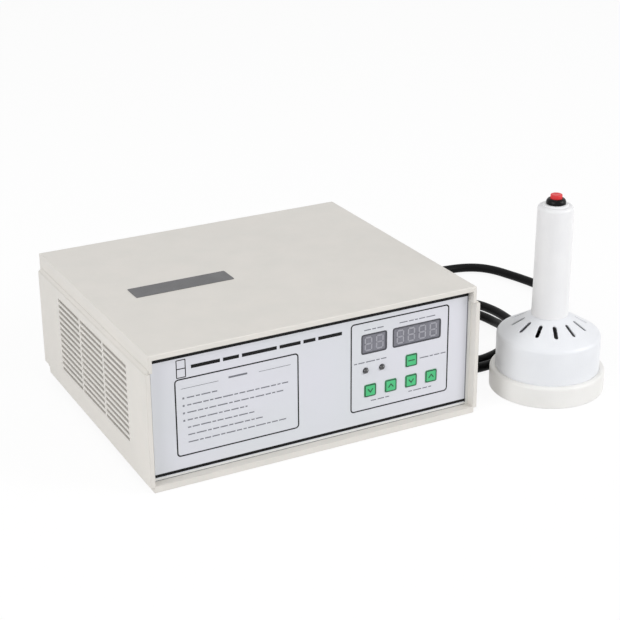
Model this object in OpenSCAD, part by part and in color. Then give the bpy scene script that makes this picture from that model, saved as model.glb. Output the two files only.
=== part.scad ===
// Hand-held induction cap sealer: a desktop power unit and its sealing head on a cable.
// Millimetres, +Z up, front towards -Y, resting on the plane z = 0.

/* [Case] */
// Width of the top cover
cover_w = 300; // [280:1:340]
// Depth of the top cover, nose to rear edge
cover_d = 256; // [240:1:300]
// Height of the cover's top above the table
case_h = 119; // [116:1:140]
// Thickness of the moulded case walls
wall_t = 3; // [2:0.5:4]
// Height of the cover's side that shows above the ledge
ledge_drop = 15; // [12:1:18]
// How far the side walls stand in front of the cover's nose
wall_lead = 1; // [0:0.5:3]
// How far the side walls stop short of the cover's rear edge
wall_lag = 4; // [2:0.5:5]
// Radius along the cover's top edges
cover_edge_r = 1; // [1:0.5:5]
// Height of the cover's front and rear lips
lip_h = 4.5; // [4:0.5:8]
// Height of the side skirt's front end above the table
skirt_gap = 5; // [3:0.5:8]
// Rise of the side skirt's lower edge from front to rear
skirt_rise = 4; // [0:1:8]
// Height of the front sill's lower edge above the table
sill_gap = 0.5; // [0.5:0.5:3]
// Length of the notch at the skirt's rear end
heel_l = 13; // [6:1:20]
// Height of the notch at the skirt's rear end
heel_h = 6.5; // [3:0.5:10]

/* [Louvres] */
// Rows of slots in each side wall
louvre_rows = 13; // [6:1:13]
// Columns of slots in each side wall
louvre_cols = 3; // [2:1:3]
// Distance between rows
louvre_pitch = 5.4; // [4:0.1:5.4]
// Height of one slot
louvre_h = 2.8; // [1.5:0.1:3.2]
// Length of one slot
louvre_l = 51; // [30:1:54]
// Web between columns
louvre_web = 3; // [2:0.5:6]
// Middle of the slot block ahead of the case's middle
louvre_shift = 7.5; // [0:0.5:15]
// Middle of the slot block above the table
louvre_mid_z = 62; // [58:0.5:64]

/* [Control panel] */
// Depth of the recess in front of the front panel
front_recess = 7; // [4:0.5:10]
// Depth of the recess behind the rear panel
rear_recess = 7; // [5:0.5:10]
// Thickness of the front and rear panels
panel_t = 2; // [1.5:0.5:3]
// Thickness of the printed overlay film
overlay_t = 0.5; // [0.3:0.1:0.8]
// Height of the overlay film
overlay_h = 103.6; // [95:0.1:104]
// Distance from the panel's right edge to the middle of the controls
control_inset = 66.5; // [62:0.5:80]
// Distance between keys
key_pitch = 20; // [16:0.5:22]
// Side of a square key
key_w = 11; // [8:0.5:12]
// Travel of a key
key_travel = 0.5; // [0.3:0.1:0.6]
// Height of the lower row of keys above the table
key_row_z = 41.8; // [38:0.1:44]
// Height of the lamps and the reset key above the table
lamp_row_z = 60.9; // [58:0.1:64]
// Diameter of an indicator lamp
lamp_d = 5; // [3:0.5:6]
// Distance between the indicator lamps
lamp_pitch = 15.7; // [12:0.1:18]
// Height of the middle of the displays above the table
display_z = 84.8; // [82:0.1:88]
// Height of a display
display_h = 16.8; // [14:0.1:18]
// Width of the two-digit display
time_w = 23.5; // [20:0.1:25]
// Width of the four-digit display
counter_w = 46.3; // [40:0.1:50]
// Gap between the two displays
display_gap = 6.7; // [4:0.1:9]

/* [Label] */
// Width of the label plate on the cover
label_w = 90; // [60:1:110]
// Depth of the label plate
label_d = 21.3; // [15:0.1:25]
// Thickness of the label plate
label_t = 0.4; // [0.2:0.1:0.8]

/* [Rear fittings] */
// Side of the square cooling fan
fan_w = 60; // [50:1:70]
// Depth of the cooling fan
fan_t = 25; // [20:1:28]
// Distance between fan screws
fan_pitch = 50; // [40:1:54]
// Width of the mains socket's opening
inlet_w = 24; // [22:0.5:26]
// Height of the mains socket's opening
inlet_h = 16; // [15:0.5:18]
// Length of the rocker switch's bezel
rocker_l = 21; // [19:0.5:24]
// Width of the rocker switch's bezel
rocker_w = 15; // [14:0.5:18]

/* [Sealing head] */
// Distance of the head's axis to the right of the case's middle
head_x = 240; // [230:1:300]
// Distance of the head's axis ahead of the case's middle
head_front = 112; // [60:1:130]
// Diameter of the bell housing
bell_d = 93; // [84:1:104]
// Thickness of the base ring around the bell housing
ring_wall = 5; // [4:0.5:8]
// Height of the base ring
ring_h = 20; // [18:1:21]
// Thickness of the bell housing's wall
bell_t = 3; // [2:0.5:4]
// Radius of the bell housing's shoulder
shoulder_r = 5; // [3:0.5:7]
// Height of the bell housing's top, where the handle stands
handle_z = 70; // [68:1:80]
// Diameter of the handle at its foot
handle_foot_d = 32.8; // [31:0.1:36]
// Diameter of the handle at its top
handle_top_d = 31.6; // [30:0.1:35]
// Height of the handle's top above the table
handle_top_z = 172; // [150:1:190]
// Count of vent slots
vent_count = 12; // [8:1:16]
// Width of a vent slot
vent_w = 3.8; // [2:0.1:4.2]
// Radius at which a vent slot starts
vent_r0 = 21.9; // [21.5:0.1:25]
// Radius at which a vent slot ends
vent_r1 = 34.3; // [30:0.1:36]
// Diameter of the raised pad under the button
pad_d = 21.6; // [20:0.1:24]
// Height of the raised pad under the button
pad_h = 1.4; // [0.6:0.1:2]
// Diameter of the button's bezel
bezel_d = 17.4; // [16:0.1:19]
// Height of the button's bezel
bezel_h = 4.6; // [3:0.1:6]
// Diameter of the red button
button_d = 10.4; // [9.4:0.1:11]
// Height of the red button above its bezel
button_h = 3.8; // [3.4:0.1:6]
// Travel of the red button
button_travel = 3; // [2:0.1:3]

/* [Cable] */
// Diameter of the head cable
cable_d = 9; // [7:0.5:10]

/* [Hidden] */
$fn = 64;
hex_sides = 6;
over = 1;
slip = 0.3;
shaft_slip = 0.05;

// Cross recess of a screw, as shares of the head's radius, the arm and the head's height
recess_reach = 0.65;
recess_width = 0.24;
recess_depth = 0.4;

// Case levels and planes
foot_h = 10;
floor_t = 3;
floor_top = foot_h + floor_t;
ledge_z = case_h - ledge_drop;
under_top = case_h - wall_t;
lip_z = case_h - lip_h;
wall_in = cover_w / 2 + slip;
wall_out = wall_in + wall_t;
wall_y0 = -cover_d / 2 - wall_lead;
wall_y1 = cover_d / 2 - wall_lag;
wall_edge_r = 1;
heel_y = wall_y1 - heel_l;
heel_z = skirt_gap + skirt_rise + heel_h;
jamb_w = 0.8;
jamb_in = wall_in - jamb_w;
sill_h = 5.5;
sill_top = sill_gap + sill_h;
groove_d = 2;
groove_rib = 2;
tongue_h = 7;
rib_top = ledge_z - tongue_h - slip;
panel_y = -cover_d / 2 + front_recess;
panel_back = panel_y + panel_t;
rear_y = cover_d / 2 - rear_recess;
rear_in = rear_y - panel_t;
panel_half = wall_in - slip;
panel_top_half = cover_w / 2 - wall_t - slip;
panel_bottom = sill_top - groove_d;
rear_bottom = floor_top - groove_d;
panel_top = under_top - slip;
shoulder_z = ledge_z - slip;
cream = [0.86, 0.85, 0.81];

// Label plate
label_inset = 37;
label_y = -3.1;
label_r = 1;

// Case posts, bosses and feet
post_r = 4.5;
post_inset_x = 12;
post_inset_y = 28;
post_x = cover_w / 2 - post_inset_x;
post_y = cover_d / 2 - post_inset_y;
post_top = 58;
post_web = 8;
case_screw_r = 1.75;
case_screw_head_r = 3;
case_screw_head_h = 2.4;
case_screw_grip = 12;
foot_r = 9;
foot_inset_x = 30;
foot_inset_y = 33;
foot_x = cover_w / 2 - foot_inset_x;
foot_y = cover_d / 2 - foot_inset_y;
foot_screw_r = 1.9;
foot_screw_head_r = 3.8;
foot_screw_head_h = 2.5;
foot_recess = 4;
foot_screw_tip = 2;
foot_screw_l = floor_top - foot_recess + foot_screw_tip;

// Controls
control_x = panel_top_half - control_inset;
overlay_inset = 0.5;
overlay_half = panel_top_half - overlay_inset;
overlay_rise = 2.4;
overlay_z = sill_top + overlay_rise;
overlay_y = panel_y - overlay_t;
display_rest = 0.3;
display_fit = 0.25;
display_y = overlay_y + display_rest;
displays_w = time_w + display_gap + counter_w;
time_x = control_x - displays_w / 2 + time_w / 2;
counter_x = control_x + displays_w / 2 - counter_w / 2;
key_x0 = control_x - 1.5 * key_pitch;
reset_x = control_x + key_pitch / 2;
lamp_inset = 34.5;
lamp_x = control_x - lamp_inset;
key_r = 1.5;
key_proud = 0.5;
key_flange = 1;
key_flange_t = 1;
key_stem_r = 1.75;
tact_gap = 0.2;
board_gap = 8;
board_t = 1.6;
board_y = panel_back + board_gap;
board_w = 106;
board_h = 84;
board_z = 64;
spacer_inset_x = 5;
spacer_inset_z = 5;
spacer_r = 2.75;
m3_r = 1.5;
m3_head_r = 2.8;
m3_head_h = 2;
m3_grip = 5;
tact_w = 6;
tact_body_h = 3.2;
tact_pin_r = 1.6;
tact_pin_h = 0.5;
tact_top = board_y - tact_body_h - tact_pin_h;
key_stem_end = tact_top - key_travel - tact_gap;
digit_h = 11.4;
digit_w = 6;
digit_t = 1.3;
digit_pitch = 10.8;
digit_relief = 0.2;
digit_break = 0.5;

// Power electronics
pcb_w = 190;
pcb_d = 140;
pcb_x = -30;
pcb_y = 5;
pcb_z = floor_top + board_gap;
pcb_top = pcb_z + board_t;
pcb_spacer_inset = 6;
sink_l = 110;
sink_h = 62;
sink_web = 6;
sink_fin = 26;
sink_fins = 8;
sink_fin_t = 2;
sink_inset = 14;
sink_x = pcb_x - pcb_w / 2 + sink_inset + sink_fin;
front_row_inset = 30;
front_row_y = pcb_y - pcb_d / 2 + front_row_inset;
rear_row_inset = 32;
rear_row_y = pcb_y + pcb_d / 2 - rear_row_inset;
rectifier_shift = 20;
rectifier_x = pcb_x - rectifier_shift;
capacitor_shift = 22;
capacitor_x = pcb_x + capacitor_shift;
film_inset = 29;
film_x = pcb_x + pcb_w / 2 - film_inset;
film_stagger = 6;
film_y = front_row_y - film_stagger;
core_inset = 45;
core_x = pcb_x + pcb_w / 2 - core_inset;
choke_shift = 12;
choke_x = pcb_x - choke_shift;
rectifier_r = 2;
rectifier_hole_r = 2.6;
film_r = 1;
transistor_w = 16;
transistor_h = 21;
transistor_t = 5;
transistor_lift = 14;
transistor_pitch = 34;
transistor_leg = 1.2;
transistor_leg_pitch = 5.4;
rectifier_w = 28;
rectifier_h = 11;
capacitor_r = 17.5;
capacitor_h = 50;
film_w = 42;
film_t = 20;
film_h = 36;
film_pitch = 26;
core_w = 56;
core_h = 56;
core_t = 21;
core_leg = 17;
core_yoke = 10;
winding_gap = 0.4;
choke_r = 15;
choke_wire_r = 8;

// Rear fittings
fan_x = -85;
fan_z = 64;
fan_wall = 1.5;
fan_bore_r = fan_w / 2 - fan_wall;
fan_y0 = rear_in - fan_t;
fan_plate = 3;
fan_cup_r = 14;
fan_tip_gap = 1.5;
fan_hub_r = 14;
fan_hub_wall = 2;
fan_blades = 7;
fan_blade_t = 1.5;
fan_blade_chord = 15;
fan_blade_tilt = 35;
fan_shaft_r = 1.5;
fan_tube_r = 3.5;
fan_strut_w = 4;
fan_screw_r = 2;
fan_screw_head_r = 3.5;
fan_screw_head_h = 2.2;
fan_screw_l = 12;
fan_ear_r = 4.2;
guard_t = 1.5;
guard_wire = 2;
guard_rings = 4;
inlet_x = 60;
inlet_z = 42;
inlet_wall = 1.6;
inlet_flange = 2.6;
inlet_body_w = inlet_w + 2 * inlet_wall;
inlet_body_h = inlet_h + 2 * inlet_wall;
inlet_flange_t = 2.5;
inlet_depth = 14;
inlet_mouth = 4.6;
blade_w = 5;
blade_t = 2;
blade_pitch = 14;
blade_offset = 3;
blade_tail = 8;
rocker_x = 18;
rocker_z = 42;
rocker_flange_t = 2;
rocker_cheek = 1.5;
rocker_rim = 1;
rocker_body_w = rocker_w - 2 * rocker_rim;
rocker_body_l = rocker_l - 2 * rocker_rim;
rocker_well_w = rocker_body_w - 2 * rocker_cheek;
rocker_well_l = rocker_body_l - rocker_rim;
rocker_gap = 0.3;
rocker_body_t = 12;
rocker_tilt = 7;
rocker_pin_r = 1.5;
rocker_pin_l = 1.2;
rocker_rise = 4;
rocker_dip = 2.2;
rocker_sink = 4;
rocker_pivot_y = rear_y - 2;
fuse_x = 92;
fuse_z = 72;
fuse_r = 6;
fuse_flange_r = 8;
fuse_flange_t = 2;
fuse_l = 30;
fuse_cap_r = 5.5;
fuse_bore_r = 4.5;
fuse_cap_h = 3.5;
fuse_cap_stem = 8;
fuse_slot = 1;

// Glands
cable_r = cable_d / 2;
gland_wall = 2.5;
gland_thread_r = cable_r + gland_wall;
gland_hex_r = gland_thread_r + 3;
gland_hex_t = 4;
gland_dome_l = 20;
gland_dome_r = gland_thread_r + 1;
gland_tip_r = cable_r + 1.5;
gland_nut_t = 4;
gland_tail = 6;
case_gland_x = 118;
case_gland_z = 32;

// Sealing head
head_y = -head_front;
bell_r = bell_d / 2;
ring_r = bell_r + ring_wall;
bell_in = bell_r - bell_t;
ring_top_r = 2.5;
ring_foot_r = 1.5;
ring_lip = 2.5;
ring_lip_w = 1.5;
ring_lip_in = bell_r - ring_lip_w;
ring_pocket_r = bell_r + shaft_slip;
plate_t = 4;
plate_top = ring_lip + plate_t;
cone_slope = 0.6;
cone_angle = atan(cone_slope);
collar_rim = 0.6;
collar_r = handle_foot_d / 2 + collar_rim;
collar_in = 13.5;
collar_boss_r = 20.5;
collar_t = 6;
vent_phase = 5;
head_screws = 3;
head_screw_phase = 15;
head_boss_r = 3.5;
head_boss_bite = 1;
head_boss_at = bell_in - head_boss_r + head_boss_bite;
head_boss_top = 34;
head_screw_r = 1.75;
head_screw_head_r = 3.2;
head_screw_head_h = 2;
head_screw_l = 16;
head_screw_tip = ring_lip + head_screw_head_h + head_screw_l;
former_gap = 2;
former_r = head_boss_at - head_boss_r - former_gap;
former_t = 1.5;
former_hub_r = 12;
coil_h = 5;
coil_turns = 6;
ferrites = 6;
ferrite_l = 20;
ferrite_w = 8;
ferrite_h = 5;
spigot_r = collar_in - slip;
spigot_in = 10.5;
spigot_l = collar_t + 6;
handle_in = 13;
handle_cap_t = 3;
handle_edge_r = 3;
handle_nut_r = 19;
handle_nut_t = 5;
neck_r = 6.5;
neck_wall = 1.2;
neck_l = 12;
button_r = button_d / 2;
button_ring = 0.3;
button_stem_r = neck_r - neck_wall - slip;
button_gap = 1;
bezel_r = bezel_d / 2;
bezel_taper = 1.6;
bezel_skirt = 1.5;
bezel_top_r = bezel_r - bezel_taper;
pad_z = handle_top_z + pad_h;
bezel_z = pad_z + bezel_h;
button_dome = 0.8;
button_foot = 0.7;
button_nut_r = 10;
button_nut_t = 4;
cap_under = handle_top_z - handle_cap_t;
switch_r = 8;
switch_h = 14;
switch_z = cap_under - neck_l;
head_gland_z = 31;
head_gland_turn = 75;
head_gland_pad_r = 10;
head_gland_rise = 1.5;
head_gland_back = 2.5;
head_gland_seat = bell_r + head_gland_rise;
head_gland_inner = bell_in - head_gland_back;

// Middle of the footprint of the case and the head, without the cable
origin_x = (head_x + ring_r - wall_out) / 2;
origin_y = (cover_d / 2 + head_y - ring_r) / 2;

// Route of the head cable, from the rear gland to the head's gland
cable_sides = 10;
cable_route = [
    [118, 121, 32], [118, 145, 32], [119, 162, 31], [126, 180, 26], [142, 194, 17], [164, 200, 9],
    [188, 198, 5], [212, 190, 5], [236, 180, 5], [260, 171, 5], [282, 166, 5], [301, 164, 5],
    [318, 162, 5], [332, 158, 5], [344, 150, 5], [353, 137, 5], [359, 120, 5], [364, 103, 5],
    [368, 84, 5], [368, 63, 5], [363, 41, 5], [353, 20, 5], [338, 1, 5], [320, -15, 5],
    [299, -28, 5], [278, -39, 5], [256, -48, 5], [234, -55, 5], [211, -61, 5], [190, -60, 5],
    [173, -50, 5], [163, -32, 5], [160, -9, 5], [162, 16, 5], [168, 41, 5], [180, 63, 5],
    [198, 79, 5], [221, 88, 5], [246, 88, 5], [268, 80, 5], [283, 67, 5], [289, 48, 5],
    [290, 27, 5], [287, 7, 5], [280, -11, 5], [268, -25, 5], [251, -35, 5], [235, -42, 5],
    [223, -46, 5], [211, -48, 5], [198, -45, 5], [186, -38, 5], [178, -28, 5], [173, -16, 5],
    [172, -2, 5], [175, 15, 5], [182, 31, 5], [196, 47, 5], [214, 60, 5], [235, 66, 5],
    [248, 64, 5], [259, 57, 5], [268, 47, 5], [272, 35, 5], [274, 19, 5], [272, 3, 8],
    [268, -13, 17], [263, -29, 27], [258, -44, 31], [251, -70, 31],
];

// Moves a piece from the case's middle to the common origin
module placed() {
    translate([-origin_x, -origin_y, 0])
        children();
}

// Moves a piece of the sealing head to its place
module at_head() {
    placed()
        translate([head_x, head_y, 0])
            children();
}

// Extrudes a (y, z) shape from x0 to x1
module along_x(x0, x1) {
    translate([x0, 0, 0])
        rotate([90, 0, 90])
            linear_extrude(x1 - x0)
                children();
}

// Extrudes an (x, z) shape from y0 to y1
module along_y(y0, y1) {
    translate([0, y1, 0])
        rotate([90, 0, 0])
            linear_extrude(y1 - y0)
                children();
}

// Cylinder along +Y from y0 to y1
module rod_y(x, z, y0, y1, r) {
    translate([x, y0, z])
        rotate([-90, 0, 0])
            cylinder(h = y1 - y0, r = r);
}

// Box between two corners
module box(low, high) {
    translate(low)
        cube(high - low);
}

// Rectangle around a middle point
module pane(x, z, w, h) {
    translate([x, z])
        square([w, h], center = true);
}

// Rectangle with round corners around a middle point
module round_pane(x, z, w, h, r) {
    pane(x, z, w - 2 * r, h);
    pane(x, z, w, h - 2 * r);
    for (sx = [-1, 1], sz = [-1, 1])
        translate([x + sx * (w / 2 - r), z + sz * (h / 2 - r)])
            circle(r);
}

// Outline with its two upper corners rounded
module arch(x0, x1, z0, z1, r) {
    translate([x0, z0])
        square([x1 - x0, z1 - z0 - r]);
    translate([x0 + r, z0])
        square([x1 - x0 - 2 * r, z1 - z0]);
    for (x = [x0 + r, x1 - r])
        translate([x, z1 - r])
            circle(r);
}

// Round tube along Z
module tube(r_out, r_in, h) {
    difference() {
        cylinder(h = h, r = r_out);
        translate([0, 0, -over])
            cylinder(h = h + 2 * over, r = r_in);
    }
}

// Screw with a cross-recessed flat head below z = 0 and its shank upwards
module screw(head_r, head_h, r, l) {
    arm = recess_reach * head_r;
    difference() {
        translate([0, 0, -head_h])
            cylinder(h = head_h, r = head_r);
        for (turn = [0, 90])
            rotate(turn)
                translate([-arm, -recess_width * arm, -head_h - over])
                    cube([2 * arm, 2 * recess_width * arm, over + recess_depth * head_h]);
    }
    translate([0, 0, -head_h / 2])
        cylinder(h = l + head_h / 2, r = r);
}

// Four corners of a rectangle
module corners(x, y) {
    for (sx = [-1, 1], sy = [-1, 1])
        translate([sx * x, sy * y, 0])
            children();
}

// Profile of the tray's floor with the sill and the panel grooves
module floor_profile() {
    polygon([
        [wall_y0, sill_gap], [wall_y0, sill_top], [panel_y, sill_top],
        [panel_y, panel_bottom], [panel_back + slip, panel_bottom], [panel_back + slip, floor_top],
        [rear_in - slip, floor_top], [rear_in - slip, rear_bottom], [rear_y, rear_bottom],
        [rear_y, floor_top + groove_d], [wall_y1, floor_top + groove_d], [wall_y1, foot_h],
        [panel_back + slip + 2 * floor_t, foot_h], [panel_back + slip + floor_t, sill_gap],
    ]);
}

// Outline of a side wall, with its rising skirt and rear notch
module wall_profile() {
    polygon([
        [wall_y0, skirt_gap], [heel_y, skirt_gap + skirt_rise], [heel_y, heel_z], [wall_y1, heel_z],
        [wall_y1, ledge_z], [wall_y0, ledge_z],
    ]);
}

// Slots of one side wall's louvres
module louvres() {
    block_l = louvre_cols * louvre_l + (louvre_cols - 1) * louvre_web;
    block_h = (louvre_rows - 1) * louvre_pitch;
    for (c = [0 : louvre_cols - 1], r = [0 : louvre_rows - 1])
        translate([
            -wall_t,
            c * (louvre_l + louvre_web) - block_l / 2 - louvre_shift,
            r * louvre_pitch - block_h / 2 + louvre_mid_z - louvre_h / 2,
        ])
            cube([2 * wall_t, louvre_l, louvre_h]);
}

// Lower case: tray, side walls with louvres, panel jambs and screw posts, moulded in one piece
module lower_case() {
    color(cream)
        placed()
            difference() {
                union() {
                    intersection() {
                        for (x0 = [-wall_out, wall_in])
                            along_x(x0, x0 + wall_t)
                                wall_profile();
                        along_y(wall_y0 - over, wall_y1 + over)
                            arch(-wall_out, wall_out, 0, ledge_z, wall_edge_r);
                    }
                    along_x(-wall_in - wall_t / 2, wall_in + wall_t / 2)
                        floor_profile();
                    for (s = [0, 1])
                        mirror([s, 0, 0]) {
                            box([jamb_in, wall_y0, sill_gap], [wall_in + wall_t / 2, panel_y, ledge_z]);
                            box([jamb_in, rear_y, foot_h], [wall_in + wall_t / 2, wall_y1, ledge_z]);
                            box([jamb_in, panel_back + slip, foot_h],
                                [wall_in + wall_t / 2, panel_back + slip + groove_rib, rib_top]);
                            box([jamb_in, rear_in - slip - groove_rib, foot_h],
                                [wall_in + wall_t / 2, rear_in - slip, rib_top]);
                        }
                    corners(post_x, post_y)
                        translate([0, 0, foot_h])
                            cylinder(h = post_top - foot_h, r = post_r);
                }
                for (s = [0, 1])
                    mirror([s, 0, 0]) {
                        box([wall_in, heel_y, 0], [wall_out + over, wall_y1 + over, heel_z]);
                        box([wall_in, wall_y0 - over, 0], [wall_out + over, heel_y + over, skirt_gap]);
                    }
                for (s = [-1, 1])
                    translate([s * (wall_in + wall_t / 2), 0, 0])
                        louvres();
                corners(post_x, post_y) {
                    translate([0, 0, -over])
                        cylinder(h = post_top - post_web + over, r = case_screw_head_r + slip);
                    cylinder(h = post_top + over, r = case_screw_r + shaft_slip);
                }
                corners(foot_x, foot_y)
                    cylinder(h = case_h, r = foot_screw_r + shaft_slip);
            }
}

// Top cover: shell with a rounded nose, side flanges, tongues inside the walls and screw bosses
module top_cover() {
    in_x = cover_w / 2 - wall_t;
    in_y = cover_d / 2 - wall_t;
    color(cream)
        placed()
            difference() {
                union() {
                    difference() {
                        intersection() {
                            along_y(-cover_d / 2, cover_d / 2)
                                arch(-cover_w / 2, cover_w / 2, ledge_z, case_h, cover_edge_r);
                            along_x(-cover_w / 2, cover_w / 2)
                                arch(-cover_d / 2, cover_d / 2, ledge_z, case_h, cover_edge_r);
                        }
                        box([-in_x, -in_y, ledge_z - over], [in_x, in_y, under_top]);
                        box([-in_x, -cover_d, ledge_z - over], [in_x, cover_d, lip_z]);
                    }
                    for (s = [0, 1])
                        mirror([s, 0, 0])
                            box([in_x, panel_back + slip, ledge_z - tongue_h],
                                [cover_w / 2, rear_in - slip, ledge_z + over]);
                    corners(post_x, post_y)
                        translate([0, 0, post_top])
                            cylinder(h = under_top - post_top + over, r = post_r);
                }
                corners(post_x, post_y)
                    cylinder(h = post_top + case_screw_grip + over, r = case_screw_r + shaft_slip);
            }
}

// Label plate stuck on the cover, left of the middle
module top_label() {
    label_x = label_inset + label_w / 2 - cover_w / 2;
    color([0.28, 0.28, 0.29])
        placed()
            translate([label_x, label_y, case_h])
                linear_extrude(label_t)
                    round_pane(0, 0, label_w, label_d, label_r);
}

// Four rubber feet
module rubber_feet() {
    color([0.1, 0.1, 0.1])
        placed()
            corners(foot_x, foot_y)
                difference() {
                    cylinder(h = foot_h, r = foot_r);
                    translate([0, 0, -over])
                        cylinder(h = foot_recess + over, r = foot_screw_head_r + slip);
                    cylinder(h = foot_h + over, r = foot_screw_r + shaft_slip);
                }
}

// Screws that hold the feet
module foot_screws() {
    color("silver")
        placed()
            corners(foot_x, foot_y)
                translate([0, 0, foot_recess])
                    screw(foot_screw_head_r, foot_screw_head_h, foot_screw_r, foot_screw_l);
}

// Screws that join the lower case to the cover
module case_screws() {
    color("silver")
        placed()
            corners(post_x, post_y)
                translate([0, 0, post_top - post_web])
                    screw(case_screw_head_r, case_screw_head_h, case_screw_r, post_web + case_screw_grip);
}

// Outline of a panel that slides into the case's grooves
module panel_outline(bottom) {
    translate([-panel_half, bottom])
        square([2 * panel_half, shoulder_z - bottom]);
    translate([-panel_top_half, bottom])
        square([2 * panel_top_half, panel_top - bottom]);
}

// Places of the five keys
function key_places() = [
    [reset_x, lamp_row_z],
    for (k = [0 : 3]) [key_x0 + k * key_pitch, key_row_z],
];

// Openings for the displays, the lamps and the keys
module control_openings() {
    pane(time_x, display_z, time_w + 2 * display_fit, display_h + 2 * display_fit);
    pane(counter_x, display_z, counter_w + 2 * display_fit, display_h + 2 * display_fit);
    for (k = [0, 1])
        translate([lamp_x + k * lamp_pitch, lamp_row_z])
            circle(lamp_d / 2 + slip);
    for (p = key_places())
        round_pane(p[0], p[1], key_w + 2 * slip, key_w + 2 * slip, key_r);
}

// Front panel plate in its grooves
module front_panel() {
    color([0.84, 0.84, 0.83])
        placed()
            along_y(panel_y, panel_back)
                difference() {
                    panel_outline(panel_bottom);
                    control_openings();
                }
}

// Printed film on the front panel
module front_overlay() {
    color([0.8, 0.81, 0.84])
        placed()
            along_y(overlay_y, panel_y)
                difference() {
                    translate([-overlay_half, overlay_z])
                        square([2 * overlay_half, overlay_h]);
                    control_openings();
                }
}

// Body of a display, from its face to the control board
module display_body(x, w) {
    color([0.2, 0.2, 0.21])
        placed()
            along_y(display_y, board_y)
                pane(x, display_z, w, display_h);
}

// One bar of a digit, pointed at both ends
module digit_bar(l) {
    h = digit_t / 2;
    polygon([[-l / 2, 0], [h - l / 2, h], [l / 2 - h, h], [l / 2, 0], [l / 2 - h, -h], [h - l / 2, -h]]);
}

// Seven bars of a digit
module digit_shape() {
    for (k = [-1, 0, 1])
        translate([0, k * digit_h / 2])
            digit_bar(digit_w - digit_break);
    for (sx = [-1, 1], sz = [-1, 1])
        translate([sx * digit_w / 2, sz * digit_h / 4])
            rotate(90)
                digit_bar(digit_h / 2 - digit_break);
}

// Row of digits on the face of a display
module digit_row(x, count) {
    color([0.45, 0.45, 0.46])
        placed()
            along_y(display_y - digit_relief, display_y)
                for (k = [0 : count - 1])
                    translate([x + (k - (count - 1) / 2) * digit_pitch, display_z])
                        digit_shape();
}

module time_display() { display_body(time_x, time_w); }
module time_digits() { digit_row(time_x, 2); }
module counter_display() { display_body(counter_x, counter_w); }
module counter_digits() { digit_row(counter_x, 4); }

// Two lamps with round tips, standing on the control board
module indicator_lamps() {
    color([0.75, 0.75, 0.74])
        placed()
            for (k = [0, 1])
                translate([lamp_x + k * lamp_pitch, overlay_y, lamp_row_z]) {
                    rotate([-90, 0, 0])
                        cylinder(h = board_y - overlay_y, r = lamp_d / 2);
                    sphere(lamp_d / 2);
                }
}

// Key with its guide flange behind the panel and its stem
module key(index) {
    p = key_places()[index];
    flange_y = panel_back + slip;
    flange_w = key_w + 2 * slip + 2 * key_flange;
    color([0.24, 0.7, 0.43])
        placed() {
            along_y(overlay_y - key_proud, flange_y + key_flange_t / 2)
                round_pane(p[0], p[1], key_w, key_w, key_r);
            along_y(flange_y, flange_y + key_flange_t)
                pane(p[0], p[1], flange_w, flange_w);
            rod_y(p[0], p[1], flange_y, key_stem_end, key_stem_r);
        }
}

module reset_key() { key(0); }
module time_down_key() { key(1); }
module time_up_key() { key(2); }
module power_down_key() { key(3); }
module power_up_key() { key(4); }

// Four spacer places of the control board
module at_control_spacers() {
    for (sx = [-1, 1], sz = [-1, 1])
        translate([
            control_x + sx * (board_w / 2 - spacer_inset_x),
            0,
            board_z + sz * (board_h / 2 - spacer_inset_z),
        ])
            children();
}

// Board behind the front panel
module control_board() {
    color([0.1, 0.35, 0.2])
        placed()
            difference() {
                along_y(board_y, board_y + board_t)
                    pane(control_x, board_z, board_w, board_h);
                at_control_spacers()
                    rod_y(0, 0, board_y - over, board_y + board_t + over, m3_r + shaft_slip);
            }
}

// Push switches behind the keys
module tact_switches() {
    color([0.15, 0.15, 0.15])
        placed()
            for (p = key_places()) {
                along_y(board_y - tact_body_h, board_y)
                    pane(p[0], p[1], tact_w, tact_w);
                rod_y(p[0], p[1], tact_top, board_y, tact_pin_r);
            }
}

// Spacers between the front panel and the control board
module control_spacers() {
    color([0.8, 0.68, 0.35])
        placed()
            at_control_spacers()
                difference() {
                    rod_y(0, 0, panel_back, board_y, spacer_r);
                    rod_y(0, 0, board_y - m3_grip - over, board_y + over, m3_r + shaft_slip);
                }
}

// Screws of the control board
module control_screws() {
    color("silver")
        placed()
            at_control_spacers()
                translate([0, board_y + board_t, 0])
                    rotate([90, 0, 0])
                        screw(m3_head_r, m3_head_h, m3_r, board_t + m3_grip);
}

// Four screw places of the fan
module at_fan_screws() {
    for (sx = [-1, 1], sz = [-1, 1])
        translate([fan_x + sx * fan_pitch / 2, 0, fan_z + sz * fan_pitch / 2])
            children();
}

// Rear panel plate with its openings
module rear_panel() {
    color(cream)
        placed()
            difference() {
                along_y(rear_in, rear_y)
                    difference() {
                        panel_outline(rear_bottom);
                        translate([fan_x, fan_z])
                            circle(fan_bore_r);
                        pane(inlet_x, inlet_z, inlet_body_w + 2 * slip, inlet_body_h + 2 * slip);
                        pane(rocker_x, rocker_z, rocker_body_w + 2 * slip, rocker_body_l + 2 * slip);
                        translate([fuse_x, fuse_z])
                            circle(fuse_r + slip);
                        translate([case_gland_x, case_gland_z])
                            circle(gland_thread_r + slip);
                    }
                at_fan_screws()
                    rod_y(0, 0, rear_in - over, rear_y + over, fan_screw_r + slip);
            }
}

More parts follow.
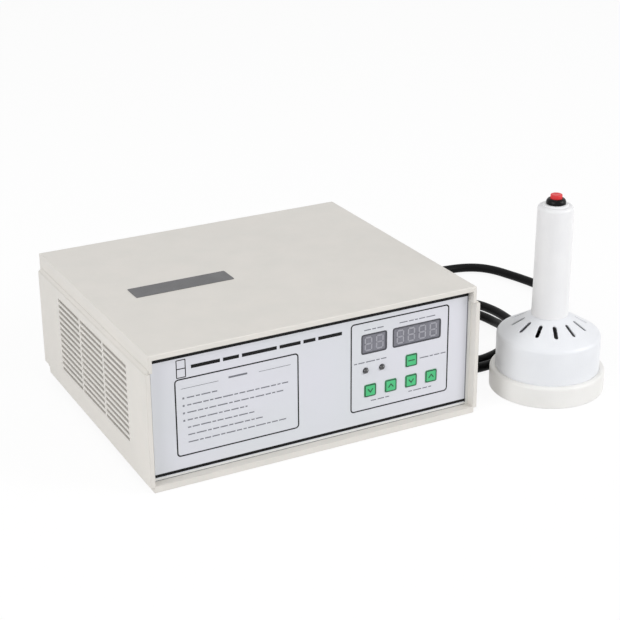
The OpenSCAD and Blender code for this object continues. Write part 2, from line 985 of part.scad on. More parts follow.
// Fan frame: square duct with a bearing tube on four struts
module fan_frame() {
    color([0.12, 0.12, 0.12])
        placed()
            difference() {
                union() {
                    along_y(fan_y0, rear_in)
                        difference() {
                            round_pane(fan_x, fan_z, fan_w, fan_w, fan_ear_r);
                            translate([fan_x, fan_z])
                                circle(fan_bore_r);
                        }
                    along_y(fan_y0, fan_y0 + fan_plate)
                        translate([fan_x, fan_z])
                            for (turn = [45, 135])
                                rotate(turn)
                                    square([2 * fan_bore_r + fan_wall, fan_strut_w], center = true);
                    rod_y(fan_x, fan_z, fan_y0, fan_y0 + fan_plate, fan_cup_r);
                    rod_y(fan_x, fan_z, fan_y0, rear_in - 4 * fan_plate, fan_tube_r);
                }
                rod_y(fan_x, fan_z, fan_y0 - over, rear_in, fan_shaft_r + shaft_slip);
                at_fan_screws()
                    rod_y(0, 0, fan_y0 - over, rear_in + over, fan_screw_r + shaft_slip);
            }
}

// Fan rotor: cup-shaped hub on its shaft, with tilted blades
module fan_rotor() {
    hub_y0 = fan_y0 + 2 * fan_plate;
    hub_y1 = rear_in - fan_plate;
    blade_l = fan_bore_r - fan_tip_gap - fan_hub_r - fan_hub_wall / 2;
    cup_r = fan_hub_r - fan_hub_wall;
    color([0.15, 0.15, 0.16])
        placed() {
            difference() {
                rod_y(fan_x, fan_z, hub_y0, hub_y1, fan_hub_r);
                rod_y(fan_x, fan_z, hub_y0 - over, hub_y1 - fan_hub_wall, cup_r);
            }
            rod_y(fan_x, fan_z, fan_y0, hub_y1 - fan_hub_wall / 2, fan_shaft_r);
            for (k = [0 : fan_blades - 1])
                translate([fan_x, (hub_y0 + hub_y1) / 2, fan_z])
                    rotate([0, k * 360 / fan_blades, 0])
                        translate([fan_hub_r - fan_hub_wall / 2, 0, 0])
                            rotate([fan_blade_tilt, 0, 0])
                                translate([0, -fan_blade_t / 2, -fan_blade_chord / 2])
                                    cube([blade_l, fan_blade_t, fan_blade_chord]);
        }
}

// Finger guard: stamped rings on a cross, with an eye at each screw
module fan_guard() {
    ring_step = fan_bore_r / guard_rings;
    color([0.75, 0.75, 0.76])
        placed()
            difference() {
                along_y(rear_y, rear_y + guard_t)
                    translate([fan_x, fan_z]) {
                        for (k = [1 : guard_rings])
                            difference() {
                                circle(k * ring_step);
                                circle(k * ring_step - guard_wire);
                            }
                        for (turn = [45, 135])
                            rotate(turn)
                                square([fan_pitch * sqrt(2), guard_wire], center = true);
                        for (sx = [-1, 1], sz = [-1, 1])
                            translate([sx * fan_pitch / 2, sz * fan_pitch / 2])
                                circle(fan_ear_r);
                    }
                at_fan_screws()
                    rod_y(0, 0, rear_y - over, rear_y + guard_t + over, fan_screw_r + slip);
            }
}

// Screws of the fan and its guard
module fan_screws() {
    color("silver")
        placed()
            at_fan_screws()
                translate([0, rear_y + guard_t, 0])
                    rotate([90, 0, 0])
                        screw(fan_screw_head_r, fan_screw_head_h, fan_screw_r, fan_screw_l);
}

// Mains inlet: flanged socket, open to the rear
module mains_inlet() {
    flange_w = inlet_body_w + 2 * inlet_flange;
    flange_h = inlet_body_h + 2 * inlet_flange;
    mouth_y = rear_y + inlet_flange_t;
    floor_y = mouth_y - inlet_depth;
    color([0.1, 0.1, 0.1])
        placed()
            difference() {
                union() {
                    along_y(floor_y - 2 * inlet_wall, rear_y + over)
                        pane(inlet_x, inlet_z, inlet_body_w, inlet_body_h);
                    along_y(rear_y, mouth_y)
                        round_pane(inlet_x, inlet_z, flange_w, flange_h, inlet_flange);
                }
                along_y(floor_y, mouth_y + over)
                    pane(inlet_x, inlet_z, inlet_w, inlet_h);
                along_y(floor_y - 3 * inlet_wall, mouth_y)
                    blade_shapes();
            }
}

// Outlines of the three contact blades
module blade_shapes() {
    for (s = [-1, 1])
        pane(inlet_x + s * blade_pitch / 2, inlet_z - blade_offset, blade_t, blade_w);
    pane(inlet_x, inlet_z + blade_offset, blade_t, blade_w);
}

// Contact blades of the mains inlet, with their tails inside the case
module inlet_blades() {
    mouth_y = rear_y + inlet_flange_t;
    color("silver")
        placed()
            along_y(mouth_y - inlet_depth - 2 * inlet_wall - blade_tail, mouth_y - inlet_mouth)
                blade_shapes();
}

// Rocker switch's frame: bezel and body with bearing holes in its cheeks
module switch_frame() {
    color([0.1, 0.1, 0.1])
        placed()
            difference() {
                union() {
                    along_y(rear_y - rocker_body_t, rear_y + rocker_flange_t)
                        pane(rocker_x, rocker_z, rocker_body_w, rocker_body_l);
                    along_y(rear_y, rear_y + rocker_flange_t)
                        pane(rocker_x, rocker_z, rocker_w, rocker_l);
                }
                along_y(rear_y - rocker_body_t + 2 * rocker_cheek, rear_y + rocker_flange_t + over)
                    pane(rocker_x, rocker_z, rocker_well_w, rocker_well_l);
                translate([rocker_x - rocker_well_w / 2 - rocker_pin_l, rocker_pivot_y, rocker_z])
                    rotate([0, 90, 0])
                        cylinder(h = rocker_well_w + 2 * rocker_pin_l, r = rocker_pin_r + shaft_slip);
            }
}

// Rocker of the switch, resting on its lower end, on two pivot pins
module switch_rocker() {
    half_l = rocker_well_l / 2 - rocker_gap - rocker_rim;
    body_w = rocker_well_w - 2 * rocker_gap;
    pin_l = rocker_well_w + 2 * rocker_pin_l - 4 * shaft_slip;
    color([0.7, 0.08, 0.07])
        placed()
            translate([rocker_x, rocker_pivot_y, rocker_z])
                rotate([rocker_tilt, 0, 0]) {
                    along_x(-body_w / 2, body_w / 2)
                        polygon([
                            [rocker_rise, half_l], [rocker_dip, 0], [rocker_rise, -half_l],
                            [-rocker_sink, -half_l + rocker_rim], [-rocker_sink, half_l - rocker_rim],
                        ]);
                    translate([-pin_l / 2, 0, 0])
                        rotate([0, 90, 0])
                            cylinder(h = pin_l, r = rocker_pin_r);
                }
}

// Fuse holder's body
module fuse_holder() {
    color([0.12, 0.12, 0.12])
        placed()
            difference() {
                union() {
                    rod_y(fuse_x, fuse_z, rear_y - fuse_l, rear_y + fuse_flange_t, fuse_r);
                    rod_y(fuse_x, fuse_z, rear_y, rear_y + fuse_flange_t, fuse_flange_r);
                }
                rod_y(fuse_x, fuse_z, rear_y + fuse_flange_t - fuse_cap_stem, rear_y + fuse_flange_t + over,
                    fuse_bore_r);
            }
}

// Cap of the fuse holder
module fuse_cap() {
    seat_y = rear_y + fuse_flange_t;
    stem_r = fuse_bore_r - shaft_slip;
    color([0.14, 0.14, 0.14])
        placed()
            difference() {
                union() {
                    rod_y(fuse_x, fuse_z, seat_y, seat_y + fuse_cap_h, fuse_cap_r);
                    rod_y(fuse_x, fuse_z, seat_y - fuse_cap_stem + slip, seat_y + over, stem_r);
                }
                box([fuse_x - fuse_cap_r, seat_y + fuse_cap_h / 2, fuse_z - fuse_slot / 2],
                    [fuse_x + fuse_cap_r, seat_y + fuse_cap_h + over, fuse_z + fuse_slot / 2]);
            }
}

// Cable gland along +Z, seated on z = 0: hexagon, tapered dome and thread, bored for the cable
module gland(thread_l) {
    difference() {
        union() {
            translate([0, 0, -thread_l])
                cylinder(h = thread_l + over, r = gland_thread_r);
            cylinder(h = gland_hex_t, r = gland_hex_r, $fn = hex_sides);
            translate([0, 0, gland_hex_t])
                cylinder(h = gland_dome_l / 2, r = gland_dome_r);
            translate([0, 0, gland_hex_t + gland_dome_l / 2])
                cylinder(h = gland_dome_l / 2, r1 = gland_dome_r, r2 = gland_tip_r);
        }
        translate([0, 0, -thread_l - over])
            cylinder(h = thread_l + gland_hex_t + gland_dome_l + 2 * over, r = cable_r);
    }
}

// Hexagon nut of a gland, below z = 0
module gland_nut() {
    translate([0, 0, -gland_nut_t])
        difference() {
            cylinder(h = gland_nut_t, r = gland_hex_r, $fn = hex_sides);
            translate([0, 0, -over])
                cylinder(h = gland_nut_t + 2 * over, r = gland_thread_r + shaft_slip);
        }
}

// Gland in the rear panel, with its lock nut
module case_gland() {
    color([0.1, 0.1, 0.1])
        placed()
            translate([case_gland_x, rear_y, case_gland_z])
                rotate([-90, 0, 0]) {
                    gland(panel_t + gland_tail);
                    translate([0, 0, -panel_t])
                        gland_nut();
                }
}

// Four spacer places of the power board
module at_board_spacers() {
    translate([pcb_x, pcb_y, 0])
        corners(pcb_w / 2 - pcb_spacer_inset, pcb_d / 2 - pcb_spacer_inset)
            children();
}

// Power board above the tray's floor
module power_board() {
    color([0.1, 0.35, 0.2])
        placed()
            difference() {
                translate([pcb_x - pcb_w / 2, pcb_y - pcb_d / 2, pcb_z])
                    cube([pcb_w, pcb_d, board_t]);
                at_board_spacers()
                    cylinder(h = case_h, r = m3_r + shaft_slip);
            }
}

// Spacers under the power board
module board_spacers() {
    color([0.8, 0.68, 0.35])
        placed()
            at_board_spacers()
                translate([0, 0, floor_top])
                    difference() {
                        cylinder(h = board_gap, r = spacer_r);
                        translate([0, 0, board_gap - m3_grip - over])
                            cylinder(h = m3_grip + 2 * over, r = m3_r + shaft_slip);
                    }
}

// Screws of the power board
module board_screws() {
    color("silver")
        placed()
            at_board_spacers()
                translate([0, 0, pcb_top])
                    rotate([180, 0, 0])
                        screw(m3_head_r, m3_head_h, m3_r, board_t + m3_grip);
}

// Heat sink: upright web with fins towards the left louvres
module heat_sink() {
    fin_step = (sink_h - sink_fin_t) / (sink_fins - 1);
    color([0.65, 0.66, 0.68])
        placed()
            along_y(pcb_y - sink_l / 2, pcb_y + sink_l / 2) {
                translate([sink_x, pcb_top])
                    square([sink_web, sink_h]);
                for (k = [0 : sink_fins - 1])
                    translate([sink_x - sink_fin, pcb_top + k * fin_step])
                        square([sink_fin + over, sink_fin_t]);
            }
}

// Two power transistors on the heat sink, with their legs in the board
module power_transistors() {
    color([0.13, 0.13, 0.13])
        placed()
            for (s = [-1, 1])
                translate([sink_x + sink_web, pcb_y + s * transistor_pitch / 2, pcb_top]) {
                    translate([0, -transistor_w / 2, transistor_lift])
                        cube([transistor_t, transistor_w, transistor_h]);
                    for (k = [-1, 0, 1])
                        translate([transistor_t / 2, k * transistor_leg_pitch - transistor_leg / 2, 0])
                            cube([transistor_leg, transistor_leg, transistor_lift + over]);
                }
}

// Bridge rectifier on the board
module bridge_rectifier() {
    color([0.12, 0.12, 0.13])
        placed()
            translate([rectifier_x, front_row_y, pcb_top])
                difference() {
                    linear_extrude(rectifier_h)
                        round_pane(0, 0, rectifier_w, rectifier_w, rectifier_r);
                    translate([0, 0, rectifier_h / 2])
                        cylinder(h = rectifier_h, r = rectifier_hole_r);
                }
}

// Bus capacitor, a can standing on the board
module bus_capacitor() {
    color([0.1, 0.12, 0.25])
        placed()
            translate([capacitor_x, front_row_y, pcb_top])
                cylinder(h = capacitor_h, r = capacitor_r);
}

// Two film capacitors on the board
module resonant_capacitors() {
    color([0.75, 0.72, 0.6])
        placed()
            for (k = [0, 1])
                translate([film_x, film_y + k * film_pitch, pcb_top])
                    linear_extrude(film_h)
                        round_pane(0, 0, film_w, film_t, film_r);
}

// Ferrite core of the matching transformer, with two windows
module transformer_core() {
    window = (core_w - core_leg - 2 * core_yoke) / 2;
    color([0.22, 0.22, 0.23])
        placed()
            translate([core_x, rear_row_y, pcb_top])
                along_y(-core_t / 2, core_t / 2)
                    difference() {
                        pane(0, core_h / 2, core_w, core_h);
                        for (s = [-1, 1])
                            pane(s * (core_leg + window) / 2, core_h / 2, window, core_h - 2 * core_yoke);
                    }
}

// Winding around the core's middle leg
module transformer_winding() {
    window = (core_w - core_leg - 2 * core_yoke) / 2;
    build = window - 2 * winding_gap;
    color([0.72, 0.4, 0.2])
        placed()
            translate([core_x, rear_row_y, pcb_top + core_yoke])
                linear_extrude(core_h - 2 * core_yoke)
                    difference() {
                        round_pane(0, 0, core_leg + 2 * build, core_t + 2 * build, build);
                        pane(0, 0, core_leg + 2 * shaft_slip, core_t + 2 * shaft_slip);
                    }
}

// Filter choke: wound ring lying on the board
module filter_choke() {
    color([0.65, 0.36, 0.16])
        placed()
            translate([choke_x, rear_row_y, pcb_top + choke_wire_r])
                rotate_extrude()
                    translate([choke_r, 0])
                        circle(choke_wire_r);
}

// Base ring of the head: rounded rim pressed on the bell, with a lip under the sealing plate
module base_ring() {
    color([0.93, 0.92, 0.9])
        at_head()
            rotate_extrude()
                difference() {
                    union() {
                        translate([ring_lip_in, 0])
                            square([ring_r - ring_foot_r - ring_lip_in, ring_h / 2]);
                        translate([ring_lip_in, ring_foot_r])
                            square([ring_r - ring_lip_in, ring_h - ring_foot_r - ring_top_r]);
                        translate([ring_lip_in, ring_foot_r])
                            square([ring_r - ring_top_r - ring_lip_in, ring_h - ring_foot_r]);
                        translate([ring_r - ring_foot_r, ring_foot_r])
                            circle(ring_foot_r);
                        translate([ring_r - ring_top_r, ring_h - ring_top_r])
                            circle(ring_top_r);
                    }
                    translate([0, ring_lip])
                        square([ring_pocket_r, ring_h]);
                }
}

// Places of the screws in the head's base
module at_head_screws() {
    for (k = [0 : head_screws - 1])
        rotate([0, 0, head_screw_phase + k * 360 / head_screws])
            translate([head_boss_at, 0, 0])
                children();
}

// Sealing plate: heat-proof disc that meets the cap
module sealing_plate() {
    color([0.82, 0.8, 0.74])
        at_head()
            translate([0, 0, ring_lip])
                difference() {
                    cylinder(h = plate_t, r = bell_r);
                    at_head_screws() {
                        translate([0, 0, -over])
                            cylinder(h = head_screw_head_h + over, r = head_screw_head_r + slip);
                        cylinder(h = plate_t + over, r = head_screw_r + shaft_slip);
                    }
                }
}

// Screws through the sealing plate into the bell housing
module base_screws() {
    color("silver")
        at_head()
            at_head_screws()
                translate([0, 0, ring_lip + head_screw_head_h])
                    screw(head_screw_head_r, head_screw_head_h, head_screw_r, head_screw_l);
}

// Coil former: flat dish with a hub
module coil_former() {
    color([0.85, 0.83, 0.75])
        at_head()
            translate([0, 0, plate_top]) {
                cylinder(h = former_t, r = former_r);
                cylinder(h = former_t + coil_h, r = former_hub_r);
            }
}

// Induction coil: flat winding of thick turns on the former
module induction_coil() {
    turn_step = (former_r - former_hub_r) / coil_turns;
    color([0.72, 0.42, 0.22])
        at_head()
            translate([0, 0, plate_top + former_t])
                difference() {
                    tube(former_r, former_hub_r + shaft_slip, coil_h);
                    for (k = [1 : coil_turns - 1])
                        translate([0, 0, coil_h - over])
                            tube(former_hub_r + k * turn_step, former_hub_r + k * turn_step - slip, 2 * over);
                }
}

// Ferrite bars on the coil
module ferrite_bars() {
    color([0.2, 0.2, 0.21])
        at_head()
            for (k = [0 : ferrites - 1])
                rotate([0, 0, k * 360 / ferrites])
                    translate([former_hub_r + slip, -ferrite_w / 2, plate_top + former_t + coil_h])
                        cube([ferrite_l, ferrite_w, ferrite_h]);
}

// Height of the cone's outer face at a radius
function cone_z(r) = handle_z - cone_slope * (r - collar_r);

// Outer shape of the bell housing
module bell_outside() {
    centre_r = bell_r - shoulder_r;
    tangent_r = centre_r + shoulder_r * sin(cone_angle);
    centre_z = cone_z(tangent_r) - shoulder_r * cos(cone_angle);
    polygon([
        [0, plate_top], [bell_r, plate_top], [bell_r, centre_z], [centre_r, centre_z],
        [tangent_r, cone_z(tangent_r)], [collar_r, handle_z], [0, handle_z],
    ]);
    translate([centre_r, centre_z])
        circle(shoulder_r);
}

// Inner shape of the bell housing, under the collar
module bell_inside() {
    drop = bell_t / cos(cone_angle);
    polygon([
        [0, plate_top - over], [bell_in, plate_top - over], [bell_in, cone_z(bell_in) - drop],
        [collar_boss_r, min(cone_z(collar_boss_r) - drop, handle_z - collar_t)], [0, handle_z - collar_t],
    ]);
    translate([0, plate_top])
        square([collar_in, handle_z]);
}

// One vent slot with round ends
module vent_shape() {
    l = vent_r1 - vent_r0;
    round_pane(vent_r0 + l / 2, 0, l, vent_w, vent_w / 2 - shaft_slip);
}

// Bell housing: vented shell with a collar for the handle, screw bosses and a gland seat
module bell_housing() {
    color([0.91, 0.92, 0.94])
        at_head()
            difference() {
                union() {
                    rotate_extrude()
                        difference() {
                            bell_outside();
                            bell_inside();
                        }
                    at_head_screws()
                        translate([0, 0, plate_top])
                            cylinder(h = head_boss_top - plate_top, r = head_boss_r);
                    rotate([0, 0, head_gland_turn])
                        translate([head_gland_inner, 0, head_gland_z])
                            rotate([0, 90, 0])
                                cylinder(h = head_gland_seat - head_gland_inner, r = head_gland_pad_r);
                }
                for (k = [0 : vent_count - 1])
                    rotate([0, 0, vent_phase + k * 360 / vent_count])
                        translate([0, 0, plate_top + head_boss_top])
                            linear_extrude(handle_z)
                                vent_shape();
                at_head_screws()
                    cylinder(h = head_screw_tip + over, r = head_screw_r + shaft_slip);
                rotate([0, 0, head_gland_turn])
                    translate([0, 0, head_gland_z])
                        rotate([0, 90, 0])
                            cylinder(h = ring_r, r = gland_thread_r + slip);
            }
}

// Handle: tapered tube with a rounded top edge and a spigot in the bell's collar
module handle() {
    foot_out = handle_foot_d / 2;
    top_out = handle_top_d / 2;
    edge_z = handle_top_z - handle_edge_r;
    color([0.93, 0.93, 0.93])
        at_head()
            rotate_extrude()
                difference() {
                    union() {
                        polygon([
                            [0, handle_z], [foot_out, handle_z], [top_out, edge_z],
                            [top_out - handle_edge_r, edge_z], [top_out - handle_edge_r, handle_top_z],
                            [0, handle_top_z],
                        ]);
                        translate([top_out - handle_edge_r, edge_z])
                            circle(handle_edge_r);
                        translate([0, handle_z - spigot_l])
                            square([spigot_r, spigot_l + over]);
                        translate([0, edge_z])
                            square([pad_d / 2, pad_z - edge_z]);
                    }
                    translate([0, handle_z - spigot_l - over])
                        square([spigot_in, spigot_l + handle_cap_t + 2 * over]);
                    translate([0, handle_z + handle_cap_t])
                        square([handle_in, handle_top_z - 2 * handle_cap_t - handle_z]);
                    square([neck_r + slip, pad_z + over]);
                }
}

// Nut that clamps the handle's spigot under the collar
module handle_nut() {
    color([0.75, 0.75, 0.76])
        at_head()
            translate([0, 0, handle_z - collar_t - handle_nut_t])
                difference() {
                    cylinder(h = handle_nut_t, r = handle_nut_r, $fn = hex_sides);
                    translate([0, 0, -over])
                        cylinder(h = handle_nut_t + 2 * over, r = spigot_r + shaft_slip);
                }
}

// Bezel of the push button: tapered ring with a threaded neck through the handle's cap
module button_bezel() {
    well_r = button_r + button_ring;
    color([0.09, 0.09, 0.09])
        at_head()
            rotate_extrude()
                difference() {
                    union() {
                        translate([0, pad_z])
                            polygon([
                                [0, 0], [bezel_r, 0], [bezel_r, bezel_skirt],
                                [bezel_top_r, bezel_h], [0, bezel_h],
                            ]);
                        translate([0, switch_z])
                            square([neck_r, pad_z - switch_z + over]);
                    }
                    square([neck_r - neck_wall, bezel_z]);
                    translate([0, bezel_z - button_travel - button_gap])
                        square([well_r, bezel_h + button_travel]);
                }
}

// Nut of the push button, under the handle's cap
module button_nut() {
    color([0.75, 0.75, 0.76])
        at_head()
            translate([0, 0, cap_under - button_nut_t])
                difference() {
                    cylinder(h = button_nut_t, r = button_nut_r, $fn = hex_sides);
                    translate([0, 0, -over])
                        cylinder(h = button_nut_t + 2 * over, r = neck_r + shaft_slip);
                }
}

// Red button with a domed top and its stem in the bezel's neck
module button_cap() {
    rim_z = bezel_z + button_h - button_dome;
    dome_r = (button_r * button_r + button_dome * button_dome) / (2 * button_dome);
    foot_z = bezel_z - button_foot;
    color([0.85, 0.12, 0.14])
        at_head()
            rotate_extrude() {
                translate([0, foot_z])
                    square([button_r, rim_z - foot_z]);
                intersection() {
                    translate([0, rim_z + button_dome - dome_r])
                        circle(dome_r);
                    translate([0, rim_z - over])
                        square([button_r, 2 * over]);
                }
                translate([0, switch_z + button_travel + button_gap])
                    square([button_stem_r, foot_z - switch_z - button_travel]);
            }
}

// Switch under the button's neck, with the plunger that the button meets
module button_switch() {
    color([0.16, 0.16, 0.17])
        at_head()
            translate([0, 0, switch_z - switch_h])
                cylinder(h = switch_h, r = switch_r);
}

// Gland on the bell housing's rear
module head_gland() {
    color([0.1, 0.1, 0.1])
        at_head()
            rotate([0, 0, head_gland_turn])
                translate([head_gland_seat, 0, head_gland_z])
                    rotate([0, 90, 0]) {
                        gland(head_gland_seat - head_gland_inner + gland_nut_t);
                        translate([0, 0, head_gland_inner - head_gland_seat])
                            gland_nut();
                    }
}

// Direction of the cable at a point of its route
function route_way(i) =
    let (last = len(cable_route) - 1)
    let (d = cable_route[min(i + 1, last)] - cable_route[max(i - 1, 0)])
    d / norm(d);

// Ring of points around one point of the route
function route_ring(i) =
    let (way = route_way(i))
    let (flat = cross(way, [0, 0, 1]))
    let (side = flat / norm(flat))
    let (up = cross(side, way))
    [for (k = [0 : cable_sides - 1])
        cable_route[i] + cable_r * (cos(k * 360 / cable_sides) * side + sin(k * 360 / cable_sides) * up)];

// Head cable, swept along its route
module head_cable() {
    count = len(cable_route);
    points = [for (i = [0 : count - 1]) each route_ring(i)];
    walls = [
        for (i = [0 : count - 2], k = [0 : cable_sides - 1])
            let (a = i * cable_sides + k, b = i * cable_sides + (k + 1) % cable_sides)
            [a, b, b + cable_sides, a + cable_sides],
    ];
    first = [for (k = [0 : cable_sides - 1]) cable_sides - 1 - k];
    last = [for (k = [0 : cable_sides - 1]) (count - 1) * cable_sides + k];
    color([0.08, 0.08, 0.08])
        placed()
            polyhedron(points = points, faces = concat([first], walls, [last]));
}

lower_case();
top_cover();
top_label();
rubber_feet();
foot_screws();
case_screws();
front_panel();
front_overlay();
time_display();
time_digits();
counter_display();
counter_digits();
indicator_lamps();
reset_key();
time_down_key();
time_up_key();
power_down_key();
power_up_key();
control_board();
tact_switches();
control_spacers();
control_screws();
rear_panel();
fan_frame();
fan_rotor();
fan_guard();
fan_screws();
mains_inlet();
inlet_blades();
switch_frame();
switch_rocker();
fuse_holder();
fuse_cap();
case_gland();
power_board();
board_spacers();
board_screws();
heat_sink();
power_transistors();
bridge_rectifier();
bus_capacitor();
resonant_capacitors();
transformer_core();
transformer_winding();
filter_choke();
base_ring();
sealing_plate();
base_screws();
coil_former();
induction_coil();
ferrite_bars();
bell_housing();
handle();
handle_nut();
button_bezel();
button_nut();
button_cap();
button_switch();
head_gland();
head_cable();
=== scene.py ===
import bmesh
import bpy
import numpy as np
from mathutils import Matrix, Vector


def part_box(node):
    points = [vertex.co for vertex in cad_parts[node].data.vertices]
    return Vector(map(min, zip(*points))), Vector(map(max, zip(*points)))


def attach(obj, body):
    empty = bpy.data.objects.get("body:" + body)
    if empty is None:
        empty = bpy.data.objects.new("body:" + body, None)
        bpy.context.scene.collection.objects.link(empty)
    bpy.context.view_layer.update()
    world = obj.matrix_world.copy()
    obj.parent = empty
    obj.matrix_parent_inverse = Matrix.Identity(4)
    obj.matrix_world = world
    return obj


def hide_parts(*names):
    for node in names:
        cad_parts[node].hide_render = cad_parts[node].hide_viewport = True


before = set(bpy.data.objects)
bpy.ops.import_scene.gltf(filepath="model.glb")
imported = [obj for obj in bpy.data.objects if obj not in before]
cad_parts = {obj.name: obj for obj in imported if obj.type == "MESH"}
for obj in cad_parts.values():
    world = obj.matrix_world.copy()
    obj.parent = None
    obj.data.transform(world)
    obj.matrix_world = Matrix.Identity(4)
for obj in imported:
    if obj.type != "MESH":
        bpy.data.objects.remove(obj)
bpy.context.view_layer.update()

bpy.context.scene.view_settings.view_transform = "Standard"


# Camera: a long lens, left of the case's front and above it, with its horizon a touch askew.
# It is not part of the object; its place and turn follow the photograph's perspective.
camera_place = (-0.6116, -1.12575, 0.6093)
camera_azimuth, camera_elevation, camera_roll = np.radians((-27.68, 22.71, -0.41))
camera_lens = 90.25
camera_sensor = 36.0


def aim(azimuth, elevation, roll, place):
    """Camera matrix: the back axis comes from azimuth and elevation, the side axis is level and square to it,
    the up axis is square to both, and the roll then turns side and up around the back axis."""
    back = np.array([np.sin(azimuth) * np.cos(elevation), -np.cos(azimuth) * np.cos(elevation), np.sin(elevation)])
    side = np.cross((0, 0, 1), back)
    side /= np.linalg.norm(side)
    up = np.cross(back, side)
    matrix = np.eye(4)
    matrix[:3, 0] = np.cos(roll) * side + np.sin(roll) * up
    matrix[:3, 1] = np.cos(roll) * up - np.sin(roll) * side
    matrix[:3, 2] = back
    matrix[:3, 3] = place
    return Matrix(matrix.tolist())


camera = bpy.data.objects.new("camera", bpy.data.cameras.new("camera"))
camera.data.lens, camera.data.sensor_width = camera_lens, camera_sensor
camera.matrix_world = aim(camera_azimuth, camera_elevation, camera_roll, camera_place)
bpy.context.scene.collection.objects.link(camera)
bpy.context.scene.camera = camera


# Studio: a wide pale floor, an even white surround and three soft lamps, as for a catalogue picture.
# The floor is painted board; towards the camera most of its shade is lifted to white, and the shadow stays.
floor_reach = 8.0
floor_white = (0.82, 0.82, 0.82, 1.0)
floor_lift, floor_glow = 0.86, 1.045
surround_level = 0.45
plain_white = (1.0, 1.0, 1.0, 1.0)
lamp_aim = (0.05, -0.02, 0.06)
lamps = {
    "lamp_left": ((-2.2, -0.8, 1.2), 1.6, 26.0),
    "lamp_right": ((2.0, -1.9, 1.3), 1.6, 41.0),
    "lamp_above": ((0.0, 0.2, 2.6), 1.8, 5.8),
}


def blank_tree(holder):
    """Empty node tree of a material or a world."""
    holder.use_nodes = True
    holder.node_tree.nodes.clear()
    return holder.node_tree


def add_node(tree, kind, links=None, values=None, **settings):
    """New shader node of a kind, with its settings, the values of its steady sockets and the outputs that are linked
    to its other sockets."""
    node = tree.nodes.new(kind)
    for setting, choice in settings.items():
        setattr(node, setting, choice)
    for socket, value in (values or {}).items():
        node.inputs[socket].default_value = value
    for socket, output in (links or {}).items():
        tree.links.new(output, node.inputs[socket])
    return node


def seen_directly(tree):
    """One for a ray from the camera, or one that a mirror or clear piece passes on, and nought for other light."""
    path = add_node(tree, "ShaderNodeLightPath").outputs
    seen = path["Is Camera Ray"]
    for other in ("Is Glossy Ray", "Is Transmission Ray"):
        seen = add_node(tree, "ShaderNodeMath", {0: seen, 1: path[other]}, operation="MAXIMUM").outputs[0]
    return seen


def quad_faces(rows, columns, around=False):
    """Corner numbers of the four-sided faces of a grid of rows by columns, closed across its columns if around."""
    last = columns if around else columns - 1
    row, column = np.meshgrid(np.arange(rows - 1), np.arange(last), indexing="ij")
    here = row * columns + column
    beside = row * columns + (column + 1) % columns
    return np.stack([here, beside, beside + columns, here + columns], -1).reshape(-1, 4)


def lay_mesh(name, sheets, finish, crease=35.0):
    """Object of one finish from (points, faces) sheets: the points are stacked, the faces renumbered, doubles merged,
    the normals turned outwards, and edges that turn by more than the crease angle, in degrees, kept sharp."""
    starts = np.cumsum([0] + [len(points) for points, faces in sheets])
    points = np.concatenate([points for points, faces in sheets])
    faces = [face for start, (_, sheet) in zip(starts, sheets) for face in (np.asarray(sheet) + start).tolist()]
    mesh = bpy.data.meshes.new(name)
    mesh.from_pydata(points.tolist(), [], faces)
    work = bmesh.new()
    work.from_mesh(mesh)
    bmesh.ops.remove_doubles(work, verts=work.verts, dist=1e-6)
    bmesh.ops.recalc_face_normals(work, faces=work.faces)
    work.to_mesh(mesh)
    work.free()
    mesh.polygons.foreach_set("use_smooth", np.ones(len(mesh.polygons), bool))
    mesh.set_sharp_from_angle(angle=np.radians(crease))
    mesh.materials.append(finish)
    made = bpy.data.objects.new(name, mesh)
    bpy.context.scene.collection.objects.link(made)
    return made


floor_paint = bpy.data.materials.new("floor_paint")
tree = blank_tree(floor_paint)
board = add_node(tree, "ShaderNodeBsdfDiffuse", values={"Color": floor_white})
glow = add_node(tree, "ShaderNodeEmission", values={"Strength": floor_glow})
share = add_node(tree, "ShaderNodeMath", {0: seen_directly(tree)}, {1: floor_lift}, operation="MULTIPLY")
paint = add_node(tree, "ShaderNodeMixShader", {0: share.outputs[0], 1: board.outputs[0], 2: glow.outputs[0]})
add_node(tree, "ShaderNodeOutputMaterial", {"Surface": paint.outputs[0]})
floor_x, floor_y = np.meshgrid((-floor_reach, floor_reach), (-floor_reach, floor_reach))
floor_points = np.stack([floor_x, floor_y, np.zeros((2, 2))], -1).reshape(-1, 3)
floor = lay_mesh("floor", [(floor_points, quad_faces(2, 2))], floor_paint)

surround = bpy.data.worlds.new("surround")
tree = blank_tree(surround)
even = add_node(tree, "ShaderNodeBackground", values={"Color": plain_white, "Strength": surround_level})
white = add_node(tree, "ShaderNodeBackground", values={"Color": plain_white})
sky = add_node(tree, "ShaderNodeMixShader", {0: seen_directly(tree), 1: even.outputs[0], 2: white.outputs[0]})
add_node(tree, "ShaderNodeOutputWorld", {"Surface": sky.outputs[0]})
bpy.context.scene.world = surround

for lamp_name, (lamp_place, lamp_size, lamp_power) in lamps.items():
    lamp = bpy.data.objects.new(lamp_name, bpy.data.lights.new(lamp_name, "AREA"))
    lamp.data.shape, lamp.data.size, lamp.data.energy = "DISK", lamp_size, lamp_power
    way = np.subtract(lamp_place, lamp_aim)
    flat = np.hypot(way[0], way[1])
    lamp.matrix_world = aim(np.arctan2(way[0], -way[1]), np.arctan2(way[2], flat), 0.0, lamp_place)
    bpy.context.scene.collection.objects.link(lamp)


